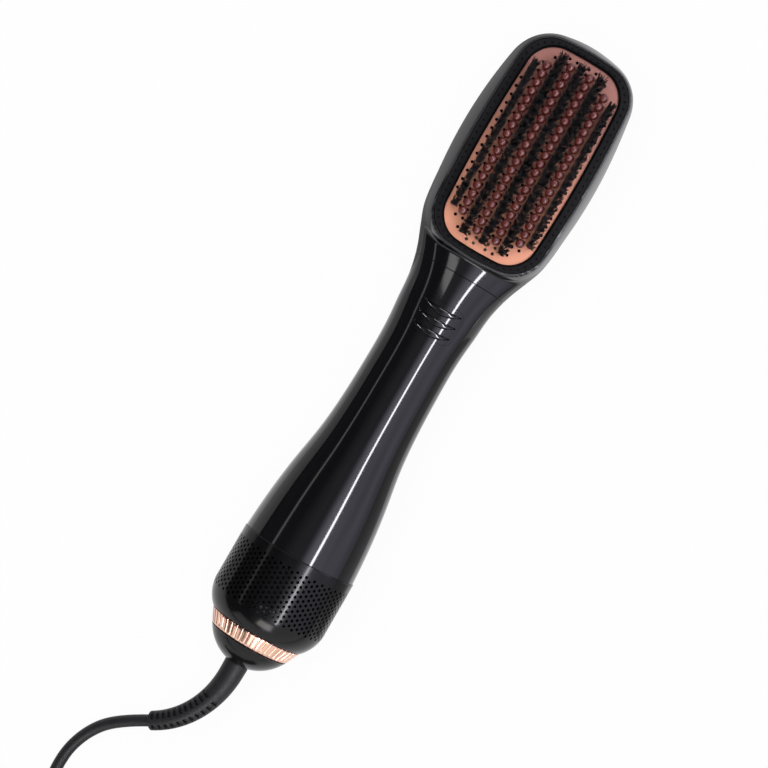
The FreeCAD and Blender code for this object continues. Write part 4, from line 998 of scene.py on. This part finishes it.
def headHalf(side, inset, height):
    rim = headShape["face"] if side > 0 else headShape["back"]
    edge, centre, start = handleShape["edge"], headShape["centre"], headShape["start"]
    climb = np.linspace(1, 0, headSteps["wall"]) ** headSteps["crowd"]  # rows crowd towards the rim
    lean = np.concatenate([[0.0, edge / height], math.pi / 2 - (math.pi / 2 - headSteps["lean"]) * climb])
    rimWidth = rim[0] - inset
    topX = np.linspace(rimWidth, 0.0, headSteps["top"] + 1)[1:]
    profileX = np.concatenate([[sizeAt(rim, math.sin(t), inset)[0] for t in lean], topX])
    profileZ = np.concatenate([height * np.sin(lean), np.full(len(topX), height)])
    angles = np.arctan2(profileZ, profileX)
    angles = np.concatenate([angles, math.pi - angles[-2::-1]])
    neckStep, neckEnd = headSteps["neckStep"], headSteps["neckEnd"]
    neck = np.linspace(start + neckStep, neckEnd, headSteps["neck"])
    tray = np.linspace(neckEnd + neckStep, centre, headSteps["near"])
    s, a = np.meshgrid(np.concatenate([[start, start + edge], neck, tray]), angles, indexing="ij")
    seam = edge * handleShape["edgeShare"] if inset == 0 else 0.0
    groove = np.zeros(s.shape)
    groove[0, :] = edge if inset == 0 else 0.0
    groove[:, [0, -1]] = seam
    reach = bodyReach(s, a, side, inset, height) - groove
    near = np.stack([reach * np.cos(a), s, reach * np.sin(a)], -1).reshape(-1, 3)
    rows, columns = s.shape
    faces = gridFaces(rows, columns)
    middle = (columns - 1) // 2
    loops = []
    for j in range(middle):
        if j < len(lean):
            half = outlineHalf(sizeAt(rim, math.sin(lean[j]), inset + (seam if j == 0 else 0.0)))
        else:
            half = outlineHalf([value - inset for value in rim]) * (profileX[j] / rimWidth)
        loops.append([(x, centre + y, profileZ[j]) for x, y in half[1:-1]])
    count = len(loops[0]) + 2
    first, lastRow = rows * columns, (rows - 1) * columns

    def index(j, k):
        if k == 0:
            return lastRow + j
        if k == count - 1:
            return lastRow + columns - 1 - j
        return first + j * (count - 2) + k - 1

    for j in range(middle - 1):
        for k in range(count - 1):
            faces.append((index(j, k), index(j + 1, k), index(j + 1, k + 1), index(j, k + 1)))
    for k in range(count - 1):
        faces.append((index(middle - 1, k), lastRow + middle, index(middle - 1, k + 1)))
    return np.vstack([near, *loops]) * (1, 1, side), faces


def headNormal(points):  # normal of the head's rear
    x, s, z = unplaced(points).T
    angle = np.arctan2(np.abs(z), x)
    step, turn, side = 0.02, 0.001, -1
    reach = bodyReach(s, angle, side)
    alongS = (bodyReach(s + step, angle, side) - bodyReach(s - step, angle, side)) / (2 * step)
    alongA = (bodyReach(s, angle + turn, side) - bodyReach(s, angle - turn, side)) / (2 * turn)
    level = np.zeros(len(s))
    radial = np.stack([np.cos(angle), level, -np.sin(angle)], 1)
    around = np.stack([-np.sin(angle), level, -np.cos(angle)], 1)
    normal = unit(radial - around * (alongA / reach)[:, None] - np.array((0.0, 1.0, 0.0)) * alongS[:, None])
    normal[np.abs(s - headShape["centre"]) > headShape["polishReach"]] = 0.0
    return normal


def headShell(side, inset, height, innerInset, innerHeight):
    outer, faces = headHalf(side, inset, height)
    inner, _ = headHalf(side, innerInset, innerHeight)
    points, faces = thicken(outer, faces, inner)
    return rawMesh("headShell", placed(points), faces)


def makeHead():
    wall, plate, (seatTop, plateTop) = handleShape["wall"], headShape["plate"], headShape["cutTops"]
    cutters = [
        drumMesh(headShape["face"], headShape["rim"], headShape["bezelSeat"], seatTop),
        drumMesh(plate, -headShape["flange"], headShape["plateSeat"], plateTop),
        drumMesh(plate, headShape["ledge"], headShape["cutFoot"], plateTop),
    ]
    front = cutMesh(headShell(1, 0.0, headShape["faceHeight"], wall, headShape["innerFront"]), cutters)
    addPiece("headFront", smoothed(front), "brush", "headBlack", "gloss_black", "head_front_shell")
    cover, deep, depth = handleShape["bossCover"], handleShape["bossDepth"], headShape["backDepth"]
    places = [(x, headShape["centre"] + y) for x, y in headShape["screws"]]
    thick = headShell(-1, cover, depth - cover, deep, depth - deep)
    rear = smoothed(withWells(headShell(-1, 0.0, depth, wall, headShape["innerBack"]), thick, places))
    polish(rear, headNormal)
    addPiece("headRear", rear, "brush", "glossBlack", "gloss_black", "head_rear_shell")


# bezel: a matte frame round the plate with a row of dimples, each with a dark disc of painted shade on its floor
bezelShape = {
    "inset": 0.9,
    "low": 15.8,
    "high": 18.0,
    "chamfer": 1.0,
    "soft": 0.2,
    "land": 1.6,
    "row": 2.875,
    "pitch": 3.4,
    "radius": 0.6,
    "deep": 0.5,
    "clear": 0.5,
    "pitPlay": 0.02,
    "pitSpan": (-0.1, 0.06),
}


def evenSpots(loop, pitch):
    ring = np.vstack([loop, loop[:1]])
    length = np.concatenate([[0.0], np.cumsum(np.linalg.norm(np.diff(ring, axis=0), axis=1))])
    stops = np.arange(int(length[-1] / pitch)) * length[-1] / int(length[-1] / pitch)
    return np.stack([np.interp(stops, length, ring[:, axis]) for axis in (0, 1)], 1)


def makeBezel():
    low, high, soft, chamfer, inset = [bezelShape[key] for key in ("low", "high", "soft", "chamfer", "inset")]
    face, plate, middle = headShape["face"], headShape["plate"], (0.0, headShape["centre"])
    rows = [(face, inset, low), (face, inset, high - soft), (face, inset + soft, high)]
    rows += [(face, inset + bezelShape["land"], high)]
    rows += [(plate, -chamfer, high), (plate, 0.0, high - chamfer), (plate, 0.0, low)]
    loops = [atHeight(wholeLoop(size, grow) + middle, z) for size, grow, z in rows]
    frameMesh = rawMesh("bezel", placed(np.vstack(loops)), ringFaces(len(rows), len(loops[0])))
    spots = evenSpots(wholeLoop(face, bezelShape["row"]), bezelShape["pitch"]) + middle
    radius, floor = bezelShape["radius"], high - bezelShape["deep"]

    def dimples(profile):
        points, faces = joinMeshes([upright(profile, 16, x, s) for x, s in spots])
        return rawMesh("dimples", placed(points), faces)

    ring = cutMesh(frameMesh, [dimples(post(radius, floor, high + bezelShape["clear"]))])
    addPiece("bezelRing", smoothed(ring), "brush", "bezelBlack", "satin_black", "bezel_ring")
    # painted shade: a thin dark matte disc at each dimple's floor makes the dimples read darker than the frame
    below, above = bezelShape["pitSpan"]
    pitShade = dimples(post(radius - bezelShape["pitPlay"], floor + below, floor + above))
    addPiece("bezelPitShade", smoothed(pitShade), "brush", "paintedPitShade", "satin_black")


makeHead()
makeBezel()
print("head and bezel made")


# bristle field: ball pins on strips and bundles of fibres between them
bristleShape = {
    "column": 5.17,
    "row": 4.63,
    "pins": [18, 20, 20, 18],
    "tufts": [17, 21, 21, 21, 17],
    "stem": 1.0,
    "ball": 2.2,
    "pinFoot": 13.4,
    "pinNeck": 20.0,
    "pinTop": 28.3,
    "tuftTop": 29.2,
    "railTop": 14.2,
    "railFoot": 12.4,
    "railSoft": 0.25,
    "railEnd": 1.8,
    "tuftRail": 1.4,
    "tuftRoot": 13.5,
    "tuftFoot": 1.2,
    "tuftTip": (2.8, 2.7),
    "outerShare": 0.75,
    "tipGap": 0.2,
    "ragged": 3.5,
    "fibre": 0.22,
    "thinning": 0.35,
    "sway": 0.1,
    "fibres": 80,
    "seed": 7,
}


def columnStations(count):
    return [headShape["centre"] + (i - (count - 1) / 2) * bristleShape["row"] for i in range(count)]


def railMesh(x, rows, half):
    low, high, soft = bristleShape["railFoot"], bristleShape["railTop"], bristleShape["railSoft"]
    loop = [(x - half, low), (x + half, low), (x + half, high - soft)]
    loop += [(x + half - soft, high), (x - half + soft, high), (x - half, high - soft)]
    points, faces = prism(loop, rows[0] - bristleShape["railEnd"], rows[-1] + bristleShape["railEnd"])
    return points[:, (0, 2, 1)], faces


def makePins():
    ball, top, stem = bristleShape["ball"], bristleShape["pinTop"], bristleShape["stem"]
    turns = np.linspace(math.asin(stem / ball), math.pi, 18)
    cap = [(max(ball * math.sin(t), core / 2), top - ball - ball * math.cos(t)) for t in turns]
    foot = bristleShape["pinFoot"]
    profile = [(core, foot), (stem, foot), (stem, bristleShape["pinNeck"]), *cap]
    for number, count in enumerate(bristleShape["pins"], 1):
        x = (2 * number - 5) * bristleShape["column"]
        rows = columnStations(count)
        points, faces = joinMeshes([railMesh(x, rows, stem)] + [upright(profile, 28, x, s) for s in rows])
        node = f"ball_pin_strip_{number}"
        addSkin(f"ballPins{number}", placed(points), faces, "pinRed", "pin_nylon", node, angle=40.0)


def fibreMesh(foot, tip, bow):
    sides, rings = 5, 4
    points = []
    for i in range(rings):
        t = i / (rings - 1)
        middle = foot * (1 - t) + tip * t + bow * (t * (1 - t) * 4)
        thin = bristleShape["fibre"] * (1 - bristleShape["thinning"] * t)
        for j in range(sides):
            angle = 2 * math.pi * j / sides
            points.append(middle + np.array((math.cos(angle), math.sin(angle), 0.0)) * thin)
    return np.array(points), tubeFaces(rings, sides)


def makeTufts():
    dice = random.Random(bristleShape["seed"])
    sway, outermost = bristleShape["sway"], (1, len(bristleShape["tufts"]))
    for number, count in enumerate(bristleShape["tufts"], 1):
        x = (2 * number - 6) * bristleShape["column"]
        across, along = bristleShape["tuftTip"]
        across *= bristleShape["outerShare"] if number in outermost else 1.0  # the outer rows stand closer
        rows = columnStations(count)
        parts = [railMesh(x, rows, bristleShape["tuftRail"])]
        for s in rows:
            for _ in range(bristleShape["fibres"]):
                wide, long = dice.uniform(-1, 1), dice.uniform(-1, 1)
                foot = bristleShape["tuftFoot"] / math.hypot(1, min(abs(wide), abs(long)))
                high = bristleShape["tuftTop"] - bristleShape["tipGap"] - bristleShape["ragged"] * dice.random() ** 2
                bow = np.array((dice.uniform(-sway, sway), dice.uniform(-sway, sway), 0.0))
                root = np.array((x + foot * wide, s + foot * long, bristleShape["tuftRoot"]))
                parts.append(fibreMesh(root, np.array((x + across * wide, s + along * long, high)), bow))
        points, faces = joinMeshes(parts)
        node = f"tuft_strip_{number}"
        addSkin(f"tufts{number}", placed(points), faces, "bristleBlack", "bristle_nylon", node, angle=60.0)


makePins()
makeTufts()
print("bristles planted")


# air intake: a band of staggered vents under a rounded shoulder
intakeShape = {
    "start": 16.6,
    "end": 58.0,
    "lip": 24.3,
    "radius": 29.8,
    "shoulder": 14.6,
    "bulge": 0.74,
    "bend": 0.42,
    "wall": 2.2,
    "columns": 80,
    "rows": 10,
    "ventRadius": 0.75,
    "pitch": 2.65,
    "ventStart": 10.8,
    "edge": 0.22,
    "ventSides": 16,
    "arcSteps": 60,
    "lipStep": 0.3,
    "shoulderSteps": 26,
    "skirtSteps": 6,
    "hub": [(17.35, 0.0), (22.6, 0.0), (22.6, 2.2), (17.35, 2.2)],  # radius, mm from the start
    "collar": [(27.4, -4.4), (27.4, -2.2), (26.6, -0.2), (26.6, 5.0), (24.4, 5.0), (24.4, -2.2)],  # mm from the end
    "round": 160,
}


def intakeProfile():
    start, radius, lip = intakeShape["start"], intakeShape["radius"], intakeShape["lip"]
    straight = start + intakeShape["shoulder"]
    bend = start + intakeShape["shoulder"] * intakeShape["bend"]
    bulge = lip + (radius - lip) * intakeShape["bulge"]
    curve = arcPoints((lip, start), (bulge, bend), (radius, straight), intakeShape["arcSteps"])
    rows = [s for _, s in curve] + [straight + 0.5, intakeShape["end"] + 1.0]
    radii = [r for r, _ in curve] + [radius, radius]
    return np.array(rows), np.array(radii)


intakeRows, intakeRadii = intakeProfile()


def intakeRadius(s):
    return np.interp(s, intakeRows, intakeRadii)


def intakeNormal(points):
    x, s, z = unplaced(points).T
    step = 0.15
    slope = (intakeRadius(s + step) - intakeRadius(s - step)) / (2 * step)
    around = np.hypot(x, z)
    return unit(np.stack([x / around, -slope, z / around], 1))


def makeIntake():
    columns, pitch, wall, edge = [intakeShape[key] for key in ("columns", "pitch", "wall", "edge")]
    start, end, vent, sides = [intakeShape[key] for key in ("start", "end", "ventRadius", "ventSides")]
    step = 2 * math.pi / columns
    firstVent = start + intakeShape["ventStart"]
    low, high = firstVent - pitch / 2, firstVent + intakeShape["rows"] * pitch
    points, faces, found = [], [], {}

    def spot(angle, s):
        key = (round(angle / step * 2) % (2 * columns), round(s * 1000))
        if key not in found:
            found[key] = len(points)
            points.append((angle, s))
        return found[key]

    for i in range(columns):
        middle = i * step
        left, right = middle - step / 2, middle + step / 2
        below, above = (low, low + pitch / 2) if i % 2 else (high - pitch / 2, high)  # half a cell without a vent
        plain = [(a, below) for a in (left, middle, right)] + [(a, above) for a in (right, middle, left)]
        faces.append(tuple(spot(a, s) for a, s in plain))
        for j in range(intakeShape["rows"]):
            s = firstVent + (i % 2) * pitch / 2 + j * pitch
            below, above = s - pitch / 2, s + pitch / 2
            cell = [(right, s), (right, above), (middle, above), (left, above)]
            cell += [(left, s), (left, below), (middle, below), (right, below)]
            ring = [spot(a, t) for a, t in cell]
            hole = range(len(points), len(points) + sides)
            radius = float(intakeRadius(s))
            for k in range(sides):
                turn = 2 * math.pi * k / sides
                points.append((middle + vent * math.cos(turn) / radius, s + vent * math.sin(turn)))
            for k in range(len(ring)):
                after = (k + 1) % len(ring)
                faces.append((ring[k], ring[after], hole[2 * after], hole[2 * k + 1]))
                faces.append((ring[k], hole[2 * k + 1], hole[2 * k]))
    shoulder = [start, *np.linspace(start + intakeShape["lipStep"], low, intakeShape["shoulderSteps"])]
    skirt = [*np.linspace(high, end - edge, intakeShape["skirtSteps"]), end]
    for band in (shoulder, skirt):
        for a, b in zip(band, band[1:]):
            for k in range(2 * columns):
                turn, after = k * step / 2, (k + 1) * step / 2
                faces.append((spot(turn, a), spot(after, a), spot(after, b), spot(turn, b)))
    angle, s = np.array(points).T
    inset = np.where((s > end - 0.01) | (s < start + 0.01), edge, 0.0)  # both end rows draw in
    outer, inner = [circle(intakeRadius(s) - deep, s, angle) for deep in (inset, wall)]
    hub = closedLathe([(r, start + past) for r, past in intakeShape["hub"]], intakeShape["round"])
    collar = closedLathe([(r, end + past) for r, past in intakeShape["collar"]], intakeShape["round"])
    points, faces = joinMeshes([thicken(outer, faces, inner), hub, collar])
    mesh = smoothed(rawMesh("airIntake", placed(points), faces))
    polish(mesh, intakeNormal, 0.97)
    addPiece("airIntake", mesh, "brush", "ventBlack", "gloss_black", "intake_housing")


# selector ring: a cone of rounded flutes that turns on the tail's hub
ringShape = {
    "start": 9.3,
    "end": 16.3,
    "small": 20.6,
    "large": 24.0,
    "bore": 17.26,
    "flutes": 48,
    "perFlute": 24,
    "deep": 0.35,
    "groove": 0.95,
    "soft": 0.3,
    "pegRadius": 1.2,
    "pegAt": 20.9,
    "pegEnd": 22.3,
    "pegSink": 0.2,
    "crown": 0.10,
    "rounding": [(0.0, 0.34), (0.1, 0.14)],  # mm from either end, mm drawn in
    "steps": 8,
}


def makeRing():
    count = ringShape["flutes"] * ringShape["perFlute"]
    angles = np.linspace(0, 2 * math.pi, count, endpoint=False)
    start, end, soft, small = [ringShape[key] for key in ("start", "end", "soft", "small")]
    rows = [(start + past, draw) for past, draw in ringShape["rounding"]]
    rows += [(s, 0.0) for s in np.linspace(start + soft, end - soft, ringShape["steps"])]
    rows += [(end - past, draw) for past, draw in reversed(ringShape["rounding"])]
    phase = (angles * ringShape["flutes"] / (2 * math.pi)) % 1.0
    away = np.minimum(phase, 1 - phase)
    crown = ringShape["crown"] * (away * 2 - 1) ** 2  # ridges bulge a little
    points = []
    for s, draw in rows:
        cone = small + (ringShape["large"] - small) * (s - start) / (end - start)
        aside = away * 2 * math.pi * cone / ringShape["flutes"] / ringShape["groove"]
        hollow = np.sqrt(np.clip(1 - (2 * aside) ** 2, 0, 1))  # one along a groove's middle
        points.append(circle(cone - np.maximum(ringShape["deep"] * hollow, crown) - draw, s, angles))
    points += [circle(ringShape["bore"], s, angles) for s in (end, start)]
    points.append(points[0])
    skin = (np.vstack(points), gridFaces(len(points), count, closed=True))
    peg, pegFaces = lathe(post(ringShape["pegRadius"], end - ringShape["pegSink"], ringShape["pegEnd"]), 32)
    points, faces = joinMeshes([skin, (peg + (0.0, 0.0, ringShape["pegAt"]), pegFaces)])
    mesh = smoothed(rawMesh("selectorRing", placed(points), faces), 40.0)
    addPiece("selectorRing", mesh, "selector", "roseGold", "rose_gold_plating", "selector_ring")


# tail cap: a polished dome with the cord's gland
capShape = {
    "length": 9.0,
    "radius": 20.4,
    "crown": 2.4,
    "flat": 6.8,
    "gland": 5.0,
    "glandSoft": 0.25,
    "floor": 4.6,
    "hub": 17.2,
    "hubWall": 2.0,
    "hubEnd": 24.0,
    "flangeEnd": 18.8,
    "snapEnd": 20.15,
    "groove": 0.9,
    "soft": 0.3,
    "edgeDraw": 0.02,
    "round": 160,
}


def makeCap():
    wide, flat, length, crown = [capShape[key] for key in ("radius", "flat", "length", "crown")]
    hub, gland, floor, soft = [capShape[key] for key in ("hub", "gland", "floor", "soft")]
    middle = (wide**2 + length**2 - flat**2 - crown**2) / (2 * (length + crown))  # station of the ball's centre
    bow = math.hypot(wide, middle - length)
    turns = np.linspace(math.asin(flat / bow), math.asin(wide / bow), 40)
    dome = [(bow * math.sin(t), middle - bow * math.cos(t)) for t in turns]
    dome = [(r, s) for r, s in dome if s < length - soft]
    deep, inner = hub - capShape["groove"], hub - capShape["hubWall"]
    flangeEnd, snapEnd, hubEnd = [capShape[key] for key in ("flangeEnd", "snapEnd", "hubEnd")]
    profile = [(gland, capShape["glandSoft"] - crown), (gland + capShape["glandSoft"], -crown), *dome]
    profile += [(wide - capShape["edgeDraw"], length - soft), (wide - soft, length), (hub, length), (hub, flangeEnd)]
    profile += [(deep, flangeEnd), (deep, snapEnd), (hub, snapEnd), (hub, hubEnd), (inner, hubEnd)]
    profile += [(inner, floor), (gland, floor)]
    points, faces = closedLathe(profile, capShape["round"])
    addSkin("tailCap", placed(points), faces, "ventBlack", "gloss_black", "tail_cap")


makeIntake()
makeRing()
makeCap()
print("intake, ring and tail made")


# pieces kept from the frame, each with its own finish
keptNodes = {
    "copperCoat": ["bristle_plate"],
    "rubberBlack": ["diffuser_plate", "button_return_dome", "mains_leads", "wire_loom"],
    "greyPlastic": ["selector_disc", "motor_holder", "fan_wheel", "motor_end_bell", "button_switch", "capacitor"],
    "creamPlastic": ["outlet_duct", "heater_liner"],
    "micaBoard": ["heater_mica_cross"],
    "boardGreen": ["control_board", "button_board"],
    "brightSteel": [
        "head_screws", "handle_screws", "motor_can", "motor_shaft",
        "snap_ring", "heater_winding", "thermostat", "thermal_fuse",
    ],
    "ferrite": ["motor_magnets", "motor_armature"],
    "contactBrass": ["selector_wipers"],
    "filterCloth": ["intake_filter"],
}
for look, names in keptNodes.items():
    for name in names:
        nodes[name].data.materials.clear()
        nodes[name].data.materials.append(finish(look))
print("inner pieces dressed")


# studio: pale floor, cards and softboxes for the reflections, white surround
studio = {
    "floorSize": 8.0,
    "floorColors": [(0.88, 0.88, 0.88), (0.92, 0.92, 0.92)],
    "floorDrift": 3.0,
    "floorGlow": (0.95, 0.35),
    "ambient": 0.5,
    "cardTint": (0.98, 0.98, 1.0),
    "cardDrift": 0.8,
    "cards": [
        dict(name="ceiling", line=[(-2.6, 0.0), (-2.6, 1.6), (0.82, 1.6)], across=(-3.5, 3.5), glow=(0.08, 0.32),
             span=(0, -1.2, -0.2), tint=(0.92, 0.90, 1.0)),
        dict(name="halo", line=[(0.02, 1.55), (0.82, 1.55)], across=(-3.5, 3.5), glow=(0.32, 1.9),
             span=(0, 0.02, 0.5), tint=(0.87, 0.85, 1.0)),
        dict(name="sideRight", line=[(0.82, 1.6), (1.6, 1.3), (2.3, 0.75), (2.6, 0.0)], across=(-0.9, 3.5),
             glow=(0.70, 1.35), span=(2, 0.0, 1.6), tint=(0.85, 0.82, 1.0)),
        dict(name="floorCardNear", line=[(-0.35, 0.0006), (0.35, 0.0006)], across=(-0.25, 0.035), glow=0.85),
        # the head's floor card carries painted shadow: it is dimmer beside the head, standing in for the head's contact
        # shadow on the floor in the walls' reflections
        dict(name="floorCardHead", line=[(-0.35, 0.0006), (0.35, 0.0006)], across=(0.035, 0.40), glow=(0.12, 1.1),
             around=(0.036, 0.1091, 0.062, 0.15), rise=0.6, sides=(1.0, 2.3), change=0.03),
        dict(name="floorCardLeft", line=[(-0.45, 0.0010), (-0.075, 0.0010)], across=(-0.150, 0.030), glow=0.55),
        dict(name="floorCardFar", line=[(-2.6, 0.0008), (-0.30, 0.0008)], across=(-3.5, 3.5), glow=0.04),
        dict(name="floorCardRight", line=[(0.070, 0.0010), (0.60, 0.0010)], across=(-0.150, 0.020), glow=0.35),
        dict(name="floorCardEdge", line=[(0.40, 0.0008), (2.65, 0.0008)], across=(-0.9, 3.5), glow=0.35),
    ],
    "softboxes": [
        dict(name="stripRight", at=(25.5, 0.0), reach=1.10, size=(0.075, 1.5), glow=26.0, tint=(0.95, 0.96, 1.0)),
        dict(name="stripLeft", at=(-57.0, 0.0), reach=1.15, size=(0.08, 1.5), glow=1.3),
        dict(name="ringBox", at=(10.0, -53.0), reach=1.00, size=(0.38, 0.30), glow=6.0, tint=(1.0, 0.97, 0.90)),
        dict(name="headBox", at=(-24.0, 40.0), reach=1.20, size=(0.16, 0.16), glow=36.0),
        dict(name="neckBox", at=(-20.1, 18.9), reach=0.33, size=(0.09, 0.024), glow=2.6),
        dict(name="fillTop", at=(-8.0, 0.0), reach=1.30, size=(0.9, 1.3), glow=2.6, meets="diffuse"),
    ],
}


def seenRays(tree):  # rays that should meet a white surround
    keys = ("Is Camera Ray", "Is Glossy Ray", "Is Transmission Ray")
    camera, glossy, through = [makeNode(tree, "ShaderNodeLightPath", {}, {}, key) for key in keys]
    return camera, (glossy + through) > 0.5


def makeSheet(name, points, faces):
    mesh = bpy.data.meshes.new(name)
    mesh.from_pydata(points, [], faces)
    obj = linkUp(bpy.data.objects.new(name, mesh))
    return obj


def makeFloor():
    size = studio["floorSize"] / 2
    floor = makeSheet("floor", [(-size, -size, 0), (size, -size, 0), (size, size, 0), (-size, size, 0)], [(0, 1, 2, 3)])
    material, tree = bareMaterial("floorWhite")
    drift = noise(tree, objectPoint(tree), studio["floorDrift"])
    color = mixColor(tree, drift, *[rgba(shade) for shade in studio["floorColors"]])
    matte = makeNode(tree, "ShaderNodeBsdfDiffuse", {}, {"Color": color})
    white = makeNode(tree, "ShaderNodeEmission", {}, {"Color": rgba((1.0, 1.0, 1.0)), "Strength": 1.0})
    camera, mirrored = seenRays(tree)
    toCamera, toMirror = studio["floorGlow"]
    both = makeNode(tree, "ShaderNodeMixShader", {}, {0: camera * toCamera + mirrored * toMirror, 1: matte, 2: white})
    makeNode(tree, "ShaderNodeOutputMaterial", {}, {"Surface": both})
    floor.data.materials.append(material)


def makeCard(card):  # a glowing sheet that only reflections meet
    points = [(x, y, z) for y in card["across"] for x, z in card["line"]]
    sheet = makeSheet(card["name"], points, gridFaces(2, len(card["line"])))
    sheet.visible_camera = sheet.visible_shadow = sheet.visible_diffuse = False
    material, tree = bareMaterial(card["name"])
    point, level = objectPoint(tree), card["glow"]
    if "span" in card:  # a change along one axis
        axis, start, end = card["span"]
        level = smoothRamp(tree, axisOf(tree, point, axis), start, end, *card["glow"])
    if "around" in card:  # dim beside the head, brighter away from it, one side more than the other; the dim band is painted shadow, standing in for the head's contact shadow on the floor as the walls reflect it
        x, y = [axisOf(tree, point, axis) for axis in (0, 1)]
        half, middle, reach, shadeFade = card["around"]
        away = (x.sized() - half).most((y - middle).sized() - reach)
        share = makeNode(tree, "ShaderNodeMapRange", {}, {0: away, 1: 0.0, 2: shadeFade}) ** card["rise"]
        low, high = card["glow"]
        side = smoothRamp(tree, x, -card["change"], card["change"], *card["sides"])
        level = (share * (high - low) + low) * side
    uneven = noise(tree, point, studio["cardDrift"]) + 0.5  # about one
    sockets = {"Color": rgba(card.get("tint", studio["cardTint"])), "Strength": level * uneven}
    glow = makeNode(tree, "ShaderNodeEmission", {}, sockets)
    makeNode(tree, "ShaderNodeOutputMaterial", {}, {"Surface": glow})
    sheet.data.materials.append(material)


def makeSoftbox(box):
    data = bpy.data.lights.new(box["name"], "AREA")
    data.shape = "RECTANGLE"
    data.size, data.size_y = box["size"]
    data.energy = box["glow"] * math.pi * data.size * data.size_y
    data.color = box.get("tint", (1.0, 1.0, 1.0))
    lamp = linkUp(bpy.data.objects.new(box["name"], data))
    aside, ahead = [math.radians(angle) for angle in box["at"]]
    way = Vector((math.sin(aside) * math.cos(ahead), math.sin(ahead), math.cos(aside) * math.cos(ahead)))
    across = Vector((math.cos(aside), 0.0, -math.sin(aside)))
    turn = Matrix((across, way.cross(across), way)).transposed()
    spot = way * box["reach"] + Vector((0.0, 0.0, axisHeight / 1000))
    lamp.matrix_world = Matrix.Translation(spot) @ turn.to_4x4()
    meets = box.get("meets", "glossy")
    lamp.visible_glossy = meets == "glossy"
    lamp.visible_diffuse = meets == "diffuse"
    lamp.visible_camera = False


def makeStudio():
    makeFloor()
    for card in studio["cards"]:
        makeCard(card)
    for box in studio["softboxes"]:
        makeSoftbox(box)
    world = bpy.data.worlds.new("surround")
    scene.world = world
    world.use_nodes = True
    tree = world.node_tree
    tree.nodes.clear()
    camera, mirrored = seenRays(tree)
    strength = (camera + mirrored) * (1.0 - studio["ambient"]) + studio["ambient"]
    back = makeNode(tree, "ShaderNodeBackground", {}, {"Color": rgba((1.0, 1.0, 1.0)), "Strength": strength})
    makeNode(tree, "ShaderNodeOutputWorld", {}, {"Surface": back})


makeStudio()
print("studio lit")
